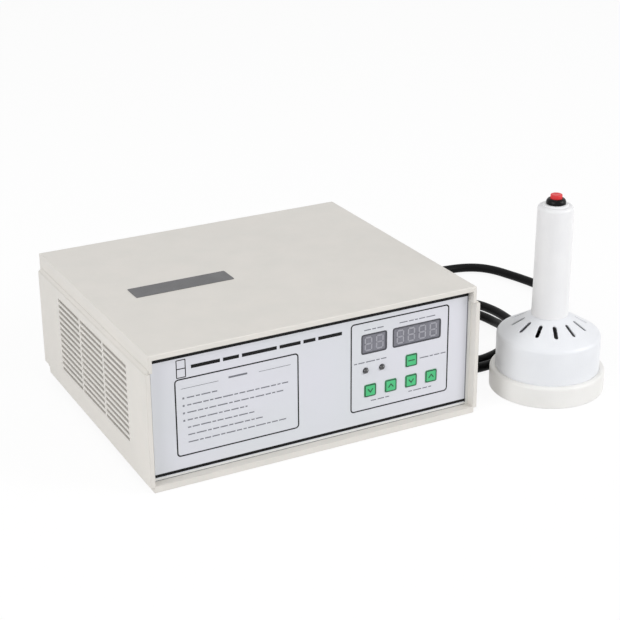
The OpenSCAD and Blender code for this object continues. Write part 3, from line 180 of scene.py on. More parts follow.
# Cable glands: screwed strain reliefs moulded in black nylon, one in the rear panel and one in the bell housing.
# Each has a hexagon body, a knurled sealing nut, a ringed flexible tail and a lock nut behind the wall.
hexagon, thread, gland_bore, gland_nut = 10.0, 7.0, 4.52, 4.0
gland_knurls, gland_turns, gland_crease = 20, 120, 30.0
tail_start, tail_end, tail_radii = 15.0, 23.2, (7.7, 6.2)
tail_groove, tail_ripple = 0.28, 2.3
gland_tail = np.linspace(tail_start, tail_end, 25)
gland_tail_radius = np.interp(gland_tail, (tail_start, tail_end), tail_radii)
gland_tail_radius -= tail_groove * (0.5 - 0.5 * np.cos(gland_tail * tail_ripple))
rear_gland_foot, rear_way = (118, 121, 32), np.array([0.0, 1.0, 0.0])
head_gland_turn = np.radians(75)
head_gland_reach, head_gland_height = 0.048, 0.031
noise_low, noise_high = 0.3, 0.7
cloud_grain, gloss_grain, gloss_drift = 0.03, 0.012, 0.04


def plan_middle(node):
    """Middle of a CAD node's box, on the table."""
    return np.mean(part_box(node), axis=0) * (1, 1, 0)


case_middle, head_axis = plan_middle("top_cover"), plan_middle("base_ring")


def from_case(points):
    """Millimetres from the case's middle on the table, turned into the frame's metres."""
    return np.asarray(points, float) / 1000 + case_middle


def closed_sheet(rows):
    """Sheet of (points, faces) from rows of points, closed across its columns."""
    return rows.reshape(-1, 3), quad_faces(*rows.shape[:2], around=True)


def gland_skin(wall):
    """Closed surface around the gland's axis: rows of (height, radius, hexagon share, knurl depth), and at each turn
    the radius is that of a circle, or of a hexagon (the flat's distance over the cosine of the turn from its middle),
    less the knurl depth times half a raised cosine. The wall is the thickness between hexagon and lock nut."""
    flat = hexagon * np.cos(np.pi / 6)
    back = -wall - gland_nut
    rows = [
        (back - 2, gland_bore, 0, 0), (back - 2, thread - 0.4, 0, 0), (back - 1.6, thread, 0, 0), (back, thread, 0, 0),
        (back, flat, 0, 0), (back + 0.6, hexagon, 1, 0), (-wall, hexagon, 1, 0), (-wall, thread, 0, 0),
        (0, thread, 0, 0), (0, hexagon, 1, 0), (3.4, hexagon, 1, 0), (4.0, flat, 0, 0), (4.0, 7.4, 0, 0),
        (4.7, 7.4, 0, 0), (4.7, 7.7, 0, 0), (5.2, 8.0, 0, 0.0), (5.6, 8.0, 0, 0.45), (13.0, 8.0, 0, 0.45),
        (13.6, 7.9, 0, 0.0), (14.2, 7.8, 0, 0),
    ]
    rows += [(height, radius, 0, 0) for height, radius in zip(gland_tail, gland_tail_radius)]
    rows += [(24.0, 6.0, 0, 0), (24.0, gland_bore, 0, 0), (back - 2, gland_bore, 0, 0)]
    height, radius, share, knurl = (column[:, None] for column in np.array(rows).T)
    turn = np.linspace(0, 2 * np.pi, gland_turns, endpoint=False)[None, :]
    six = np.cos(np.pi / 6) / np.cos(turn % (np.pi / 3) - np.pi / 6)
    reach = radius * (1 - share + share * six) - knurl * (0.5 - 0.5 * np.cos(gland_knurls * turn))
    return closed_sheet(np.stack([reach * np.cos(turn), reach * np.sin(turn), height + 0 * turn], -1) / 1000)


def stand_on(sheet, foot, way):
    """Turns a sheet made around the upright axis so that the axis runs along the level way, and moves it to the
    foot."""
    points, faces = sheet
    side = np.cross((0, 0, 1), way)
    return points @ np.stack([side, np.cross(way, side), way]) + foot, faces


def shade(red, green, blue):
    """Colour written in steps of 0 to 255, as the linear values a shader takes: the low end is divided by 12.92,
    and the rest is raised to the power of 2.4 after its offset is taken out."""
    steps = np.array([red, green, blue]) / 255
    linear = np.where(steps <= 0.04045, steps / 12.92, ((steps + 0.055) / 1.055) ** 2.4)
    return (*linear.tolist(), 1.0)


def start_finish(name, **sockets):
    """New finish with one shader, whose steady sockets are set here, and the Object coordinates its patterns read."""
    finish = bpy.data.materials.new(name)
    tree = blank_tree(finish)
    values = {socket.replace("_", " "): value for socket, value in sockets.items()}
    skin = add_node(tree, "ShaderNodeBsdfPrincipled", values=values)
    add_node(tree, "ShaderNodeOutputMaterial", {"Surface": skin.outputs["BSDF"]})
    return finish, tree, skin, add_node(tree, "ShaderNodeTexCoord").outputs["Object"]


def mottle(tree, where, grain, low=0.0, high=1.0, detail=2.0):
    """Cloudy noise whose blots are about one grain across, in metres, spread from low to high."""
    noise = add_node(tree, "ShaderNodeTexNoise", {"Vector": where}, {"Scale": 1 / grain, "Detail": detail})
    ends = {"From Min": noise_low, "From Max": noise_high, "To Min": low, "To Max": high}
    return add_node(tree, "ShaderNodeMapRange", {"Value": noise.outputs["Fac"]}, ends).outputs["Result"]


def between(tree, factor, first, second):
    """Colour that runs from the first to the second, each a colour in steps of 0 to 255 or another node's output, as
    the factor runs from nought to one."""
    ends = {6: first, 7: second}
    steady = {socket: shade(*colour) for socket, colour in ends.items() if isinstance(colour, tuple)}
    linked = {socket: colour for socket, colour in ends.items() if socket not in steady}
    return add_node(tree, "ShaderNodeMix", {"Factor": factor, **linked}, steady, data_type="RGBA").outputs[2]


def clothe(tree, skin, colour, gloss, height, depth, soft_edge=0.0):
    """Joins colour, roughness and relief to a finish's shader: the height pattern lifts the surface by at most the
    depth, in metres, and a soft edge rounds the shading of the piece's corners by that radius."""
    links = {"Height": height}
    if soft_edge:
        links["Normal"] = add_node(tree, "ShaderNodeBevel", values={"Radius": soft_edge}).outputs["Normal"]
    bump = add_node(tree, "ShaderNodeBump", links, {"Distance": depth})
    for socket, output in (("Base Color", colour), ("Roughness", gloss), ("Normal", bump.outputs["Normal"])):
        tree.links.new(output, skin.inputs[socket])


def moulded(name, dark, light, roughness, grain, depth, soft_edge=0.0, **sockets):
    """Moulded finish: two close colours in slow clouds, a roughness that drifts with them, and a fine even grain."""
    finish, tree, skin, where = start_finish(name, **sockets)
    colour = between(tree, mottle(tree, where, cloud_grain), dark, light)
    gloss = mottle(tree, where, gloss_grain, roughness - gloss_drift, roughness + gloss_drift)
    clothe(tree, skin, colour, gloss, mottle(tree, where, grain), depth, soft_edge)
    return finish


gland_nylon = moulded("gland_nylon", (19, 19, 20), (30, 30, 31), 0.38, 0.0009, 0.00003)
head_cable_way = np.array([np.cos(head_gland_turn), np.sin(head_gland_turn), 0.0])
bell_gland_foot = head_axis + head_gland_reach * head_cable_way + (0, 0, head_gland_height)
for gland_name, gland_node, gland_wall, gland_foot, gland_way in (
    ("rear_gland", "case_gland", 2.0, from_case(rear_gland_foot), rear_way),
    ("bell_gland", "head_gland", 7.0, bell_gland_foot, head_cable_way),
):
    skin = stand_on(gland_skin(gland_wall), gland_foot, gland_way)
    gland = lay_mesh(gland_name, [skin], gland_nylon, gland_crease)
    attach(gland, "unit")
    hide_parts(gland_node)


# Head cable: a round, fairly stiff flex with a black rubber sheath, from the gland in the case's rear panel
# to the gland at the back of the sealing head, lying on the table in a loose spiral.
cable_diameter, cable_length = 0.009, 1.374
cable_sides, cable_steps = 24, 6
cable_route = from_case([
    (118, 121, 32), (118, 145, 32), (119, 162, 31), (126, 180, 26), (142, 194, 17), (164, 200, 9),
    (188, 198, 5), (212, 190, 5), (236, 180, 5), (260, 171, 5), (282, 166, 5), (301, 164, 5),
    (318, 162, 5), (332, 158, 5), (344, 150, 5), (353, 137, 5), (359, 120, 5), (364, 103, 5),
    (368, 84, 5), (368, 63, 5), (363, 41, 5), (353, 20, 5), (338, 1, 5), (320, -15, 5),
    (299, -28, 5), (278, -39, 5), (256, -48, 5), (234, -55, 5), (211, -61, 5), (190, -60, 5),
    (173, -50, 5), (163, -32, 5), (160, -9, 5), (162, 16, 5), (168, 41, 5), (180, 63, 5),
    (198, 79, 5), (221, 88, 5), (246, 88, 5), (268, 80, 5), (283, 67, 5), (289, 48, 5),
    (290, 27, 5), (287, 7, 5), (280, -11, 5), (268, -25, 5), (251, -35, 5), (235, -42, 5),
    (223, -46, 5), (211, -48, 5), (198, -45, 5), (186, -38, 5), (178, -28, 5), (173, -16, 5),
    (172, -2, 5), (175, 15, 5), (182, 31, 5), (196, 47, 5), (214, 60, 5), (235, 66, 5),
    (248, 64, 5), (259, 57, 5), (268, 47, 5), (272, 35, 5), (274, 19, 5), (272, 3, 8),
    (268, -13, 17), (263, -29, 27), (258, -44, 31), (251, -70, 31),
])


def smooth_line(points, steps):
    """Curve through every point: between two neighbours it is the Catmull-Rom cubic, whose slope at each point is
    half the way from the point before it to the point after it."""
    ends = np.concatenate([[2 * points[0] - points[1]], points, [2 * points[-1] - points[-2]]])
    before, here, after, beyond = ends[:-3, None], ends[1:-2, None], ends[2:-1, None], ends[3:, None]
    t = np.linspace(0, 1, steps, endpoint=False)[None, :, None]
    cubic = (2 * here + (after - before) * t + (2 * before - 5 * here + 4 * after - beyond) * t ** 2
             + (3 * here - before - 3 * after + beyond) * t ** 3) / 2
    return np.concatenate([cubic.reshape(-1, 3), points[-1:]])


def round_tube(line, radius, sides):
    """Tube: at each point of the line a circle of the given radius, square to the line's direction, spanned by a
    level side axis and the axis square to both; the two ends are closed by a point on the line."""
    way = np.gradient(line, axis=0)
    way /= np.linalg.norm(way, axis=1)[:, None]
    side = np.cross(way, (0, 0, 1))
    side /= np.linalg.norm(side, axis=1)[:, None]
    up = np.cross(side, way)
    turn = np.linspace(0, 2 * np.pi, sides, endpoint=False)[None, :, None]
    rings = line[:, None] + radius * (np.cos(turn) * side[:, None] + np.sin(turn) * up[:, None])
    rings = np.concatenate([np.repeat(line[:1, None], sides, 1), rings, np.repeat(line[-1:, None], sides, 1)])
    return closed_sheet(rings)


cable_rubber = moulded("cable_rubber", (5, 5, 6), (11, 11, 12), 0.44, 0.0009, 0.00001, Specular_IOR_Level=0.12)
cable_line = smooth_line(cable_route, cable_steps)
cable = lay_mesh("flex_cable", [round_tube(cable_line, cable_diameter / 2, cable_sides)], cable_rubber)
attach(cable, "unit")
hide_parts("head_cable")


# Lower case and rear panel: a tray with louvred side walls, injection moulded in cream plastic with a fine matt
# grain; the rear panel is a plate of the same plastic that slides into grooves in the tray.


def dress(finish, *nodes):
    """Gives CAD nodes their finish, in their own material slots."""
    for node in nodes:
        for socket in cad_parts[node].material_slots:
            socket.material = finish


case_cream = moulded("case_cream", (224, 221, 215), (228, 224, 218), 0.47, 0.0008, 0.00005, soft_edge=0.0006)
dress(case_cream, "lower_case", "rear_panel")


# Feet and screws: four black rubber feet held by zinc-plated screws, and the screws that join tray and cover.
# The plating is bright and thin, and the wire's fine drawing marks show through it.
draw_grain, draw_depth = 0.0006, 0.00002
rub_grain, rub_drift = 0.004, 0.06
dress(moulded("foot_rubber", (20, 20, 20), (34, 34, 33), 0.72, 0.0012, 0.00008, soft_edge=0.0006), "rubber_feet")


def stretched(tree, where, x, y, z):
    """Coordinates multiplied along each axis, so that a pattern shrinks along an axis with a large factor."""
    return add_node(tree, "ShaderNodeMapping", {"Vector": where}, {"Scale": (x, y, z)}).outputs["Vector"]


def drawn_metal(name, dark, light, roughness, lay, soft_edge=0.0003):
    """Bare metal: two close greys and the roughness follow fine marks that run along the axis with the small factor
    in lay."""
    finish, tree, skin, where = start_finish(name, Metallic=1.0)
    marks = mottle(tree, stretched(tree, where, *lay), draw_grain, detail=4.0)
    gloss = mottle(tree, where, rub_grain, roughness - rub_drift, roughness + rub_drift)
    clothe(tree, skin, between(tree, marks, dark, light), gloss, marks, draw_depth, soft_edge)
    return finish


zinc_plate = drawn_metal("zinc_plate", (168, 169, 172), (205, 206, 208), 0.33, (1.0, 1.0, 0.3))
dress(zinc_plate, "foot_screws", "case_screws")


# Power electronics: a green board on brass spacers with an extruded heat sink, power transistors, capacitors,
# a ferrite transformer and a wound choke, all soldered or screwed down inside the tray.
board_track = 0.0042
track_share, track_waver, track_depth = 0.31, 6.0, 0.00004
pad_share, pad_reach = 1.6, 0.16
wire_share, wire_waver, wire_depth = 0.314, 0.3, 0.0003
board_gloss, wire_gloss = (0.006, 0.28, 0.42), (0.005, 0.26, 0.4)


def wound_wire(name, dark, light, pitch, bands="BANDS", axis="Z", middle=(0.0, 0.0, 0.0)):
    """Winding: waves one wire pitch apart, along an axis or in rings around it, run from the colour of painted shade
    in the gap between wires to the colour of a painted highlight on the crown of each wire."""
    finish, tree, skin, where = start_finish(name, Metallic=0.75, Coat_Weight=0.4)
    back = tuple(-value for value in middle)
    centre = add_node(tree, "ShaderNodeMapping", {"Vector": where}, {"Location": back})
    wires = add_node(tree, "ShaderNodeTexWave", {"Vector": centre.outputs["Vector"]},
                     {"Scale": wire_share / pitch, "Distortion": wire_waver},
                     wave_type=bands, bands_direction=axis, rings_direction=axis)
    colour = between(tree, wires.outputs["Fac"], dark, light)
    clothe(tree, skin, colour, mottle(tree, where, *wire_gloss), wires.outputs["Fac"], wire_depth)
    return finish


green_board, tree, skin, where = start_finish("green_board")
# Copper tracks a few millimetres apart show under the board's lacquer, and its round pads are tinned.
waves = {"Scale": track_share / board_track, "Distortion": track_waver}
tracks = add_node(tree, "ShaderNodeTexWave", {"Vector": where}, waves).outputs["Fac"]
pads = add_node(tree, "ShaderNodeTexVoronoi", {"Vector": where}, {"Scale": 1 / (pad_share * board_track)})
pad = add_node(tree, "ShaderNodeMath", {0: pads.outputs["Distance"]}, {1: pad_reach}, operation="LESS_THAN")
colour = between(tree, pad.outputs[0], between(tree, tracks, (14, 74, 44), (34, 112, 66)), (186, 188, 182))
clothe(tree, skin, colour, mottle(tree, where, *board_gloss), tracks, track_depth)
spacer_brass = drawn_metal("spacer_brass", (176, 141, 66), (214, 180, 98), 0.28, (1.0, 1.0, 0.2))
dress(drawn_metal("sink_aluminium", (150, 152, 156), (186, 188, 191), 0.4, (1.0, 0.03, 1.0)), "heat_sink")
chip_black = moulded("chip_black", (24, 24, 25), (38, 38, 39), 0.58, 0.0005, 0.00003, soft_edge=0.0004)
dress(moulded("sleeve_blue", (22, 28, 62), (32, 40, 82), 0.24, 0.002, 0.00005, soft_edge=0.0006), "bus_capacitor")
dress(moulded("film_box", (196, 189, 160), (210, 203, 176), 0.42, 0.001, 0.00004, soft_edge=0.0004),
      "resonant_capacitors")
ferrite_grey = moulded("ferrite_grey", (46, 46, 48), (66, 66, 68), 0.5, 0.0004, 0.00005, soft_edge=0.0003)
# The dark copper is painted shade in the gaps between wires, and the light copper a painted highlight on their crowns.
copper_gap_shade, copper_crown_highlight = (96, 46, 20), (196, 112, 58)
dress(wound_wire("layered_wire", copper_gap_shade, copper_crown_highlight, 0.0011), "transformer_winding", "filter_choke")
dress(green_board, "power_board")
dress(spacer_brass, "board_spacers")
dress(zinc_plate, "board_screws")
dress(chip_black, "power_transistors", "bridge_rectifier")
dress(ferrite_grey, "transformer_core")


# Cooling fan: a black moulded frame and seven-bladed rotor behind a finger guard of welded, plated wire rings,
# all held on the rear panel by four long screws.
fan_place = (-85, 108, 64)
fan_middle = from_case(fan_place)
hub_radius, hub_depth, hub_round, hub_chamfer, hub_sides = 14.0, 16.0, 1.6, 0.4, 72
blade_count, blade_root, blade_tip = 7, 13.4, 26.9
blade_chord, blade_thick, blade_camber = 15.0, 1.5, 1.3
blade_twist_root, blade_twist_tip = np.radians((46, 30))
blade_rows, blade_loop, blade_fullness = 14, 28, 0.6
guard_radii = np.array([6.1, 13.2, 20.4, 27.5])
guard_wire, guard_depth, guard_corner, guard_eye = 0.75, 121.75, 25.0, 3.4
guard_spoke = np.linspace(0.12, 0.905, 12)
wire_sides, spoke_sides, ring_sides, eye_sides = 16, 14, 96, 40


def turned(profile, sides, closed=True, start=0.0):
    """Turned surface: the profile's (radius, height) points, in millimetres, carried around the upright axis from the
    start angle; a closed profile comes back to its first point."""
    loop = np.asarray(profile, float)
    loop = np.concatenate([loop, loop[:1]]) if closed else loop
    turn = start + np.linspace(0, 2 * np.pi, sides, endpoint=False)[None, :]
    radius, height = loop[:, :1], loop[:, 1:]
    return closed_sheet(np.stack([radius * np.cos(turn), radius * np.sin(turn), height + 0 * turn], -1) / 1000)


def arc(middle, radius, start, end, steps=8):
    """Points on a circle around the middle, between two angles in degrees."""
    turn = np.radians(np.linspace(start, end, steps + 1))
    return np.stack([middle[0] + radius * np.cos(turn), middle[1] + radius * np.sin(turn)], -1)


def fan_blade(turn):
    """One blade: a lens-shaped loop across the chord, bowed by the camber, is carried from root to tip and twisted a
    little less at each step; the whole is then turned to its place around the hub."""
    reach = np.linspace(0, 1, blade_rows)[:, None]
    loop = np.linspace(0, 2 * np.pi, blade_loop, endpoint=False)[None, :]
    along = blade_chord / 2 * np.cos(loop)
    bow = blade_camber * (1 - np.cos(loop) ** 2)
    across = blade_thick / 2 * np.sign(np.sin(loop)) * np.abs(np.sin(loop)) ** blade_fullness + bow
    twist = blade_twist_root + (blade_twist_tip - blade_twist_root) * reach
    side = along * np.cos(twist) - across * np.sin(twist)
    axial = along * np.sin(twist) + across * np.cos(twist)
    out = blade_root + (blade_tip - blade_root) * reach + 0 * loop
    radius = np.sqrt(out ** 2 - np.minimum(side ** 2, 0.5 * out ** 2))
    x = radius * np.cos(turn) - side * np.sin(turn)
    y = radius * np.sin(turn) + side * np.cos(turn)
    skin = np.stack([x, y, axial], -1)
    ends = np.repeat(skin[[0, -1]].mean(axis=1, keepdims=True), blade_loop, axis=1)
    return closed_sheet(np.concatenate([ends[:1], skin, ends[1:]]) / 1000)


fan_black = moulded("fan_black", (22, 22, 23), (34, 34, 35), 0.5, 0.001, 0.00005, soft_edge=0.0004)
hub_profile = np.concatenate([
    [(0, -hub_depth / 2), (hub_radius - hub_chamfer, -hub_depth / 2), (hub_radius, hub_chamfer - hub_depth / 2)],
    arc((hub_radius - hub_round, hub_depth / 2 - hub_round), hub_round, 0, 90), [(0, hub_depth / 2)],
])
rotor_sheets = [turned(hub_profile, hub_sides, closed=False)]
rotor_sheets += [fan_blade(turn) for turn in np.arange(blade_count) * 2 * np.pi / blade_count]
rotor = lay_mesh("fan_impeller", [stand_on(sheet, fan_middle, rear_way) for sheet in rotor_sheets], fan_black)
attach(rotor, "rotor")
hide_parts("fan_rotor")
dress(fan_black, "fan_frame")

guard_middle = fan_middle + (0, (guard_depth - fan_place[1]) / 1000, 0)


def wire_ring(radius, sides, middle):
    """Ring of round wire that faces the rear: a circle carried around the middle at the radius."""
    return stand_on(turned(arc((radius, 0), guard_wire, 0, 360, wire_sides)[:-1], sides), middle, rear_way)


guard_wires = [wire_ring(radius, ring_sides, guard_middle) for radius in guard_radii]
for side_x, side_z in ((1, 1), (1, -1), (-1, 1), (-1, -1)):
    corner = np.array([side_x * guard_corner, 0, side_z * guard_corner]) / 1000
    guard_wires.append(round_tube(guard_middle + guard_spoke[:, None] * corner, guard_wire / 1000, spoke_sides))
    guard_wires.append(wire_ring(guard_eye, eye_sides, guard_middle + corner))
finger_guard = lay_mesh("finger_guard", guard_wires, zinc_plate)
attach(finger_guard, "unit")
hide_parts("fan_guard")
dress(zinc_plate, "fan_screws")


# Mains inlet and fuse holder: black moulded sockets that snap into the rear panel, with nickel-plated blades in
# the inlet and a slotted screw cap on the fuse holder.
socket_black = moulded("socket_black", (18, 18, 19), (29, 29, 30), 0.36, 0.0009, 0.00004, soft_edge=0.0005)
dress(drawn_metal("blade_nickel", (186, 182, 170), (216, 212, 202), 0.22, (1.0, 0.1, 1.0)), "inlet_blades")
dress(socket_black, "mains_inlet", "fuse_holder", "fuse_cap")


# Rocker switch: a black snap-in frame and a glossy red rocker on two pivot pins.
# A bar and a ring, the plain marks for on and off, are printed in white on the rocker's two halves.
rocker_pivot = (18, 119, 42)
rocker_tilt = np.radians(7)
rocker_rise, rocker_dip, rocker_half = 4.0, 2.2, 7.7
mark_line, mark_proud, mark_sunk = 0.7, 0.05, 0.04
mark_middle, mark_bar, mark_ring = 4.6, 1.3, 1.2


def flat_strip(path, width, closed=False):
    """Printed strip: at each point of a flat path the strip's two edges lie half a width to either side along the
    mitre of the neighbouring sides, and a thin box profile (left and right, front and back) is carried along it.
    The strip lies in the first two axes, its front at -1 and its back at +1 of the third."""
    path = np.asarray(path, float)
    ahead = np.roll(path, -1, axis=0) - path
    behind = np.roll(ahead, 1, axis=0)
    if not closed:
        ahead[-1], behind[0] = ahead[-2], ahead[0]
    square = [np.stack([-way[:, 1], way[:, 0]], -1) / np.linalg.norm(way, axis=1)[:, None] for way in (behind, ahead)]
    mitre = (square[0] + square[1]) / (1 + (square[0] * square[1]).sum(axis=1))[:, None]
    left, right = path + mitre * width / 2, path - mitre * width / 2
    front, back = -np.ones((len(path), 1)), np.ones((len(path), 1))
    rows = np.stack([np.hstack([left, front]), np.hstack([right, front]), np.hstack([right, back]),
                     np.hstack([left, back])], axis=1)
    if closed:
        rows = np.concatenate([rows, rows[:1]])
    else:
        ends = np.repeat(rows[[0, -1]].mean(axis=1, keepdims=True), 4, axis=1)
        rows = np.concatenate([ends[:1], rows, ends[1:]])
    return closed_sheet(rows)


def on_rocker(strip, half):
    """Lays a strip on the upper or lower half of the rocker's face: its second axis runs along that half's slope, its
    third axis along the slope's normal, and the whole tilts about the pivot as the rocker rests."""
    points, faces = strip
    slope = np.arctan2(rocker_rise - rocker_dip, rocker_half)
    lift = np.where(points[:, 2] < 0, mark_proud, -mark_sunk)
    along = mark_middle + points[:, 1]
    out = rocker_dip + along * np.sin(slope) + lift * np.cos(slope)
    rise = half * (along * np.cos(slope) - lift * np.sin(slope))
    y = out * np.cos(rocker_tilt) - rise * np.sin(rocker_tilt)
    z = out * np.sin(rocker_tilt) + rise * np.cos(rocker_tilt)
    return from_case(np.stack([points[:, 0], y, z], -1) + rocker_pivot), faces


dress(moulded("rocker_red", (170, 18, 20), (186, 24, 25), 0.26, 0.003, 0.00003, soft_edge=0.0005), "switch_rocker")
mark_white = moulded("mark_white", (226, 226, 224), (238, 238, 236), 0.5, 0.0004, 0.00001)
dress(socket_black, "switch_frame")
on_mark = flat_strip([(0, -mark_bar), (0, 0), (0, mark_bar)], mark_line)
off_mark = flat_strip(arc((0, 0), mark_ring, 0, 360, 28)[:-1], mark_line, closed=True)
rocker_marks = lay_mesh("rocker_marks", [on_rocker(on_mark, 1), on_rocker(off_mark, -1)], mark_white)
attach(rocker_marks, "rocker")


# Control board: a second board of the same green laminate, with a small push switch soldered on under each key.
# It stands on brass spacers behind the front panel, held by zinc-plated screws.
dress(green_board, "control_board")
dress(chip_black, "tact_switches")
dress(spacer_brass, "control_spacers")
dress(zinc_plate, "control_screws")


# Front panel: a pale plate in the tray's front grooves, faced with a silver-grey printed plastic film.
# The black and grey ink stands a few hundredths of a millimetre proud: bands, frames, ruled lines and tick boxes. Two
# thin lines in the same grey are painted shade, not print.
ink_proud, ink_sunk = 0.06, 0.03
film_drift, film_gloss, film_grain, film_depth = 0.09, (0.01, 0.4, 0.5), 0.0005, 0.00002
bands = ((110.4, 3.2), (10.6, 2.6))
film_edge_shade_width, film_edge_shade_inset, film_edge_shade_middle = 0.9, 0.6, 60.0
groove_shade_width, groove_shade_rise, sill_level = 0.5, 0.35, 6.0
frame_line, frame_round = 1.15, 2.8
control_frame = (31.8, 126.4, 24.6, 104.6)
notice_frame = (-126.2, -17.8, 23.4, 90.4)
tick_line, tick_round, tick_left, tick_right = 0.75, 0.3, -124.4, -116.8
tick_levels = (92.0, 99.5, 107.0)
heading_level, heading_line, heading_gap = 99.6, 3.0, 2.6
heading_left, heading_lengths = -112.0, (25.0, 14.0, 31.0, 19.0, 11.0, 22.0)
notice_rule_level, notice_rules = 82.0, ((-121.2, -88.8), (-53.3, -24.5))
notice_rule_line = 0.4
notice_title = (-80.0, -63.5, 83.0, 1.6)
row_line, row_top, row_step, row_left = 1.0, 73.6, 6.55, -116.5
row_ends = (-90.0, -27.0, -31.0, -64.0, -58.0, -50.0, -27.0)
dash_lengths, dash_gap = (6.4, 3.6, 7.8, 4.6, 2.8, 6.0, 8.6, 3.2, 5.2), 1.3
bullet_rows, bullet_x, bullet_width = 4, -120.3, 1.6
captions = ((44.0, 62.5, 97.6), (78.0, 113.0, 97.6), (34.6, 68.0, 68.6), (98.6, 124.4, 60.9), (51.0, 70.0, 31.9),
            (88.0, 111.0, 31.9))
caption_line = 0.9


def round_box(left, right, low, high, radius):
    """Closed path of a rectangle with round corners: four quarter circles, joined by straight sides."""
    corners = ((right - radius, high - radius, 0), (left + radius, high - radius, 90),
               (left + radius, low + radius, 180), (right - radius, low + radius, 270))
    return np.concatenate([arc((x, z), radius, start, start + 90, 6) for x, z, start in corners])


def on_front(strip, face):
    """Lays a strip upright on a front face at depth face, in millimetres from the case's middle."""
    points, faces = strip
    depth = face + np.where(points[:, 2] < 0, -ink_proud, ink_sunk)
    return from_case(np.stack([points[:, 0], depth, points[:, 1]], -1)), faces


def case_box(node):
    """Lowest and highest corner of a CAD node, in millimetres from the case's middle."""
    return [(np.array(corner) - case_middle) * 1000 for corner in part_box(node)]


def bar(left, right, level, width):
    """Straight level strip."""
    return flat_strip([(left, level), ((left + right) / 2, level), (right, level)], width)


def dashes(left, right, level, width, first):
    """Level row of short strips, whose lengths follow the list of dash lengths from the given place on."""
    lengths = np.roll(dash_lengths, -first).tolist() * 4
    starts = left + np.cumsum([0] + [length + dash_gap for length in lengths[:-1]])
    return [bar(start, min(start + length, right), level, width) for start, length in zip(starts, lengths)
            if start < right - dash_gap]


dress(moulded("panel_pale", (230, 230, 227), (236, 236, 233), 0.5, 0.001, 0.00004), "front_panel")
# The film drifts slowly from silver-grey to lilac, and a fine velvet grain keeps its gloss low.
silver_film, tree, skin, where = start_finish("silver_film", Specular_IOR_Level=0.4)
colour = between(tree, mottle(tree, where, film_drift, detail=1.0), (219, 222, 226), (223, 223, 231))
clothe(tree, skin, colour, mottle(tree, where, *film_gloss), mottle(tree, where, film_grain), film_depth)
dress(silver_film, "front_overlay")
ink_black = moulded("ink_black", (10, 10, 11), (17, 17, 18), 0.5, 0.0006, 0.00001, Specular_IOR_Level=0.2)
grey_ink_and_shade = moulded("grey_ink_and_shade", (112, 114, 122), (124, 126, 134), 0.55, 0.0006, 0.00001)
film_low, film_high = case_box("front_overlay")
film_face = film_low[1]
black_strips = [bar(film_low[0], film_high[0], level, width) for level, width in bands]
black_strips += [flat_strip(round_box(*edges, frame_round), frame_line, closed=True)
                 for edges in (control_frame, notice_frame)]
heading_starts = heading_left + np.cumsum([0] + [length + heading_gap for length in heading_lengths[:-1]])
black_strips += [bar(start, start + length, heading_level, heading_line)
                 for start, length in zip(heading_starts, heading_lengths)]
black_strips += [flat_strip(round_box(tick_left, tick_right, low, high, tick_round), tick_line, closed=True)
                 for low, high in zip(tick_levels[:-1], tick_levels[1:])]
grey_print_and_edge_shade = [bar(left, right, notice_rule_level, notice_rule_line) for left, right in notice_rules]
grey_print_and_edge_shade.append(bar(*notice_title))
for row, end in enumerate(row_ends):
    grey_print_and_edge_shade += dashes(row_left, end, row_top - row * row_step, row_line, row)
grey_print_and_edge_shade += [bar(bullet_x, bullet_x + bullet_width, row_top - row * row_step, bullet_width)
                for row in range(bullet_rows)]
for place, (left, right, level) in enumerate(captions):
    grey_print_and_edge_shade += dashes(left, right, level, caption_line, 2 * place)
# The grey line along the film's right edge is painted shade: the dark shadow gap between the film and the side wall,
# laid in the same grey as the print.
film_edge_shade_x = film_high[0] - film_edge_shade_inset
grey_print_and_edge_shade.append(flat_strip([(film_edge_shade_x, film_low[2]), (film_edge_shade_x, film_edge_shade_middle), (film_edge_shade_x, film_high[2])], film_edge_shade_width))
for film_sheet_name, strips, ink in (("panel_frames", black_strips, ink_black), ("panel_rules_and_edge_shade", grey_print_and_edge_shade, grey_ink_and_shade)):
    film_sheet = lay_mesh(film_sheet_name, [on_front(strip, film_face) for strip in strips], ink)
    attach(film_sheet, "unit")
plate_face = case_box("front_panel")[0][1]
# A thin grey line at the plate's foot is painted shade: the dark gap where the plate drops into the tray's groove.
groove_shade_strip = bar(film_low[0], film_high[0], sill_level + groove_shade_rise, groove_shade_width)
plate_groove_shade = lay_mesh("plate_groove_shade", [on_front(groove_shade_strip, plate_face)], grey_ink_and_shade)
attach(plate_groove_shade, "unit")


# Displays: two smoked windows with seven-bar digits, standing in openings of the film; the film's dark printed
# border hides their edges. The bars are pale light guides, unlit.
border_line, border_round = 1.3, 1.7
bar_stretch, bar_grain = (1.0, 1.0, 0.2), 0.004
window_gloss, window_grain, window_depth = (0.008, 0.2, 0.3), 0.003, 0.00001
# Faint upright bars of the display show behind the dark, glossy acrylic.
window_smoke, tree, skin, where = start_finish("window_smoke", Coat_Weight=0.5, Coat_Roughness=0.08)
cloud = mottle(tree, stretched(tree, where, *bar_stretch), bar_grain)
colour = between(tree, cloud, (110, 110, 120), (126, 126, 136))
clothe(tree, skin, colour, mottle(tree, where, *window_gloss), mottle(tree, where, window_grain), window_depth)
dress(window_smoke, "time_display", "counter_display")
dress(moulded("digit_grey", (156, 156, 165), (166, 166, 174), 0.4, 0.0008, 0.00002), "time_digits", "counter_digits")
border_ink = moulded("border_ink", (58, 58, 65), (68, 68, 75), 0.5, 0.0006, 0.00001)
border_strips = []
for window in ("time_display", "counter_display"):
    low, high = case_box(window)
    border = round_box(low[0], high[0], low[2], high[2], border_round)
    border_strips.append(on_front(flat_strip(border, border_line, closed=True), film_face))
window_borders = lay_mesh("window_borders", border_strips, border_ink)
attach(window_borders, "unit")


# Indicator lamps: two lenses with round tips, moulded in smoked plastic.
# They are soldered to the control board and pushed through the panel from behind.
dress(moulded("lamp_smoke", (52, 52, 54), (66, 66, 69), 0.16, 0.004, 0.00002, Coat_Weight=0.6), "indicator_lamps")


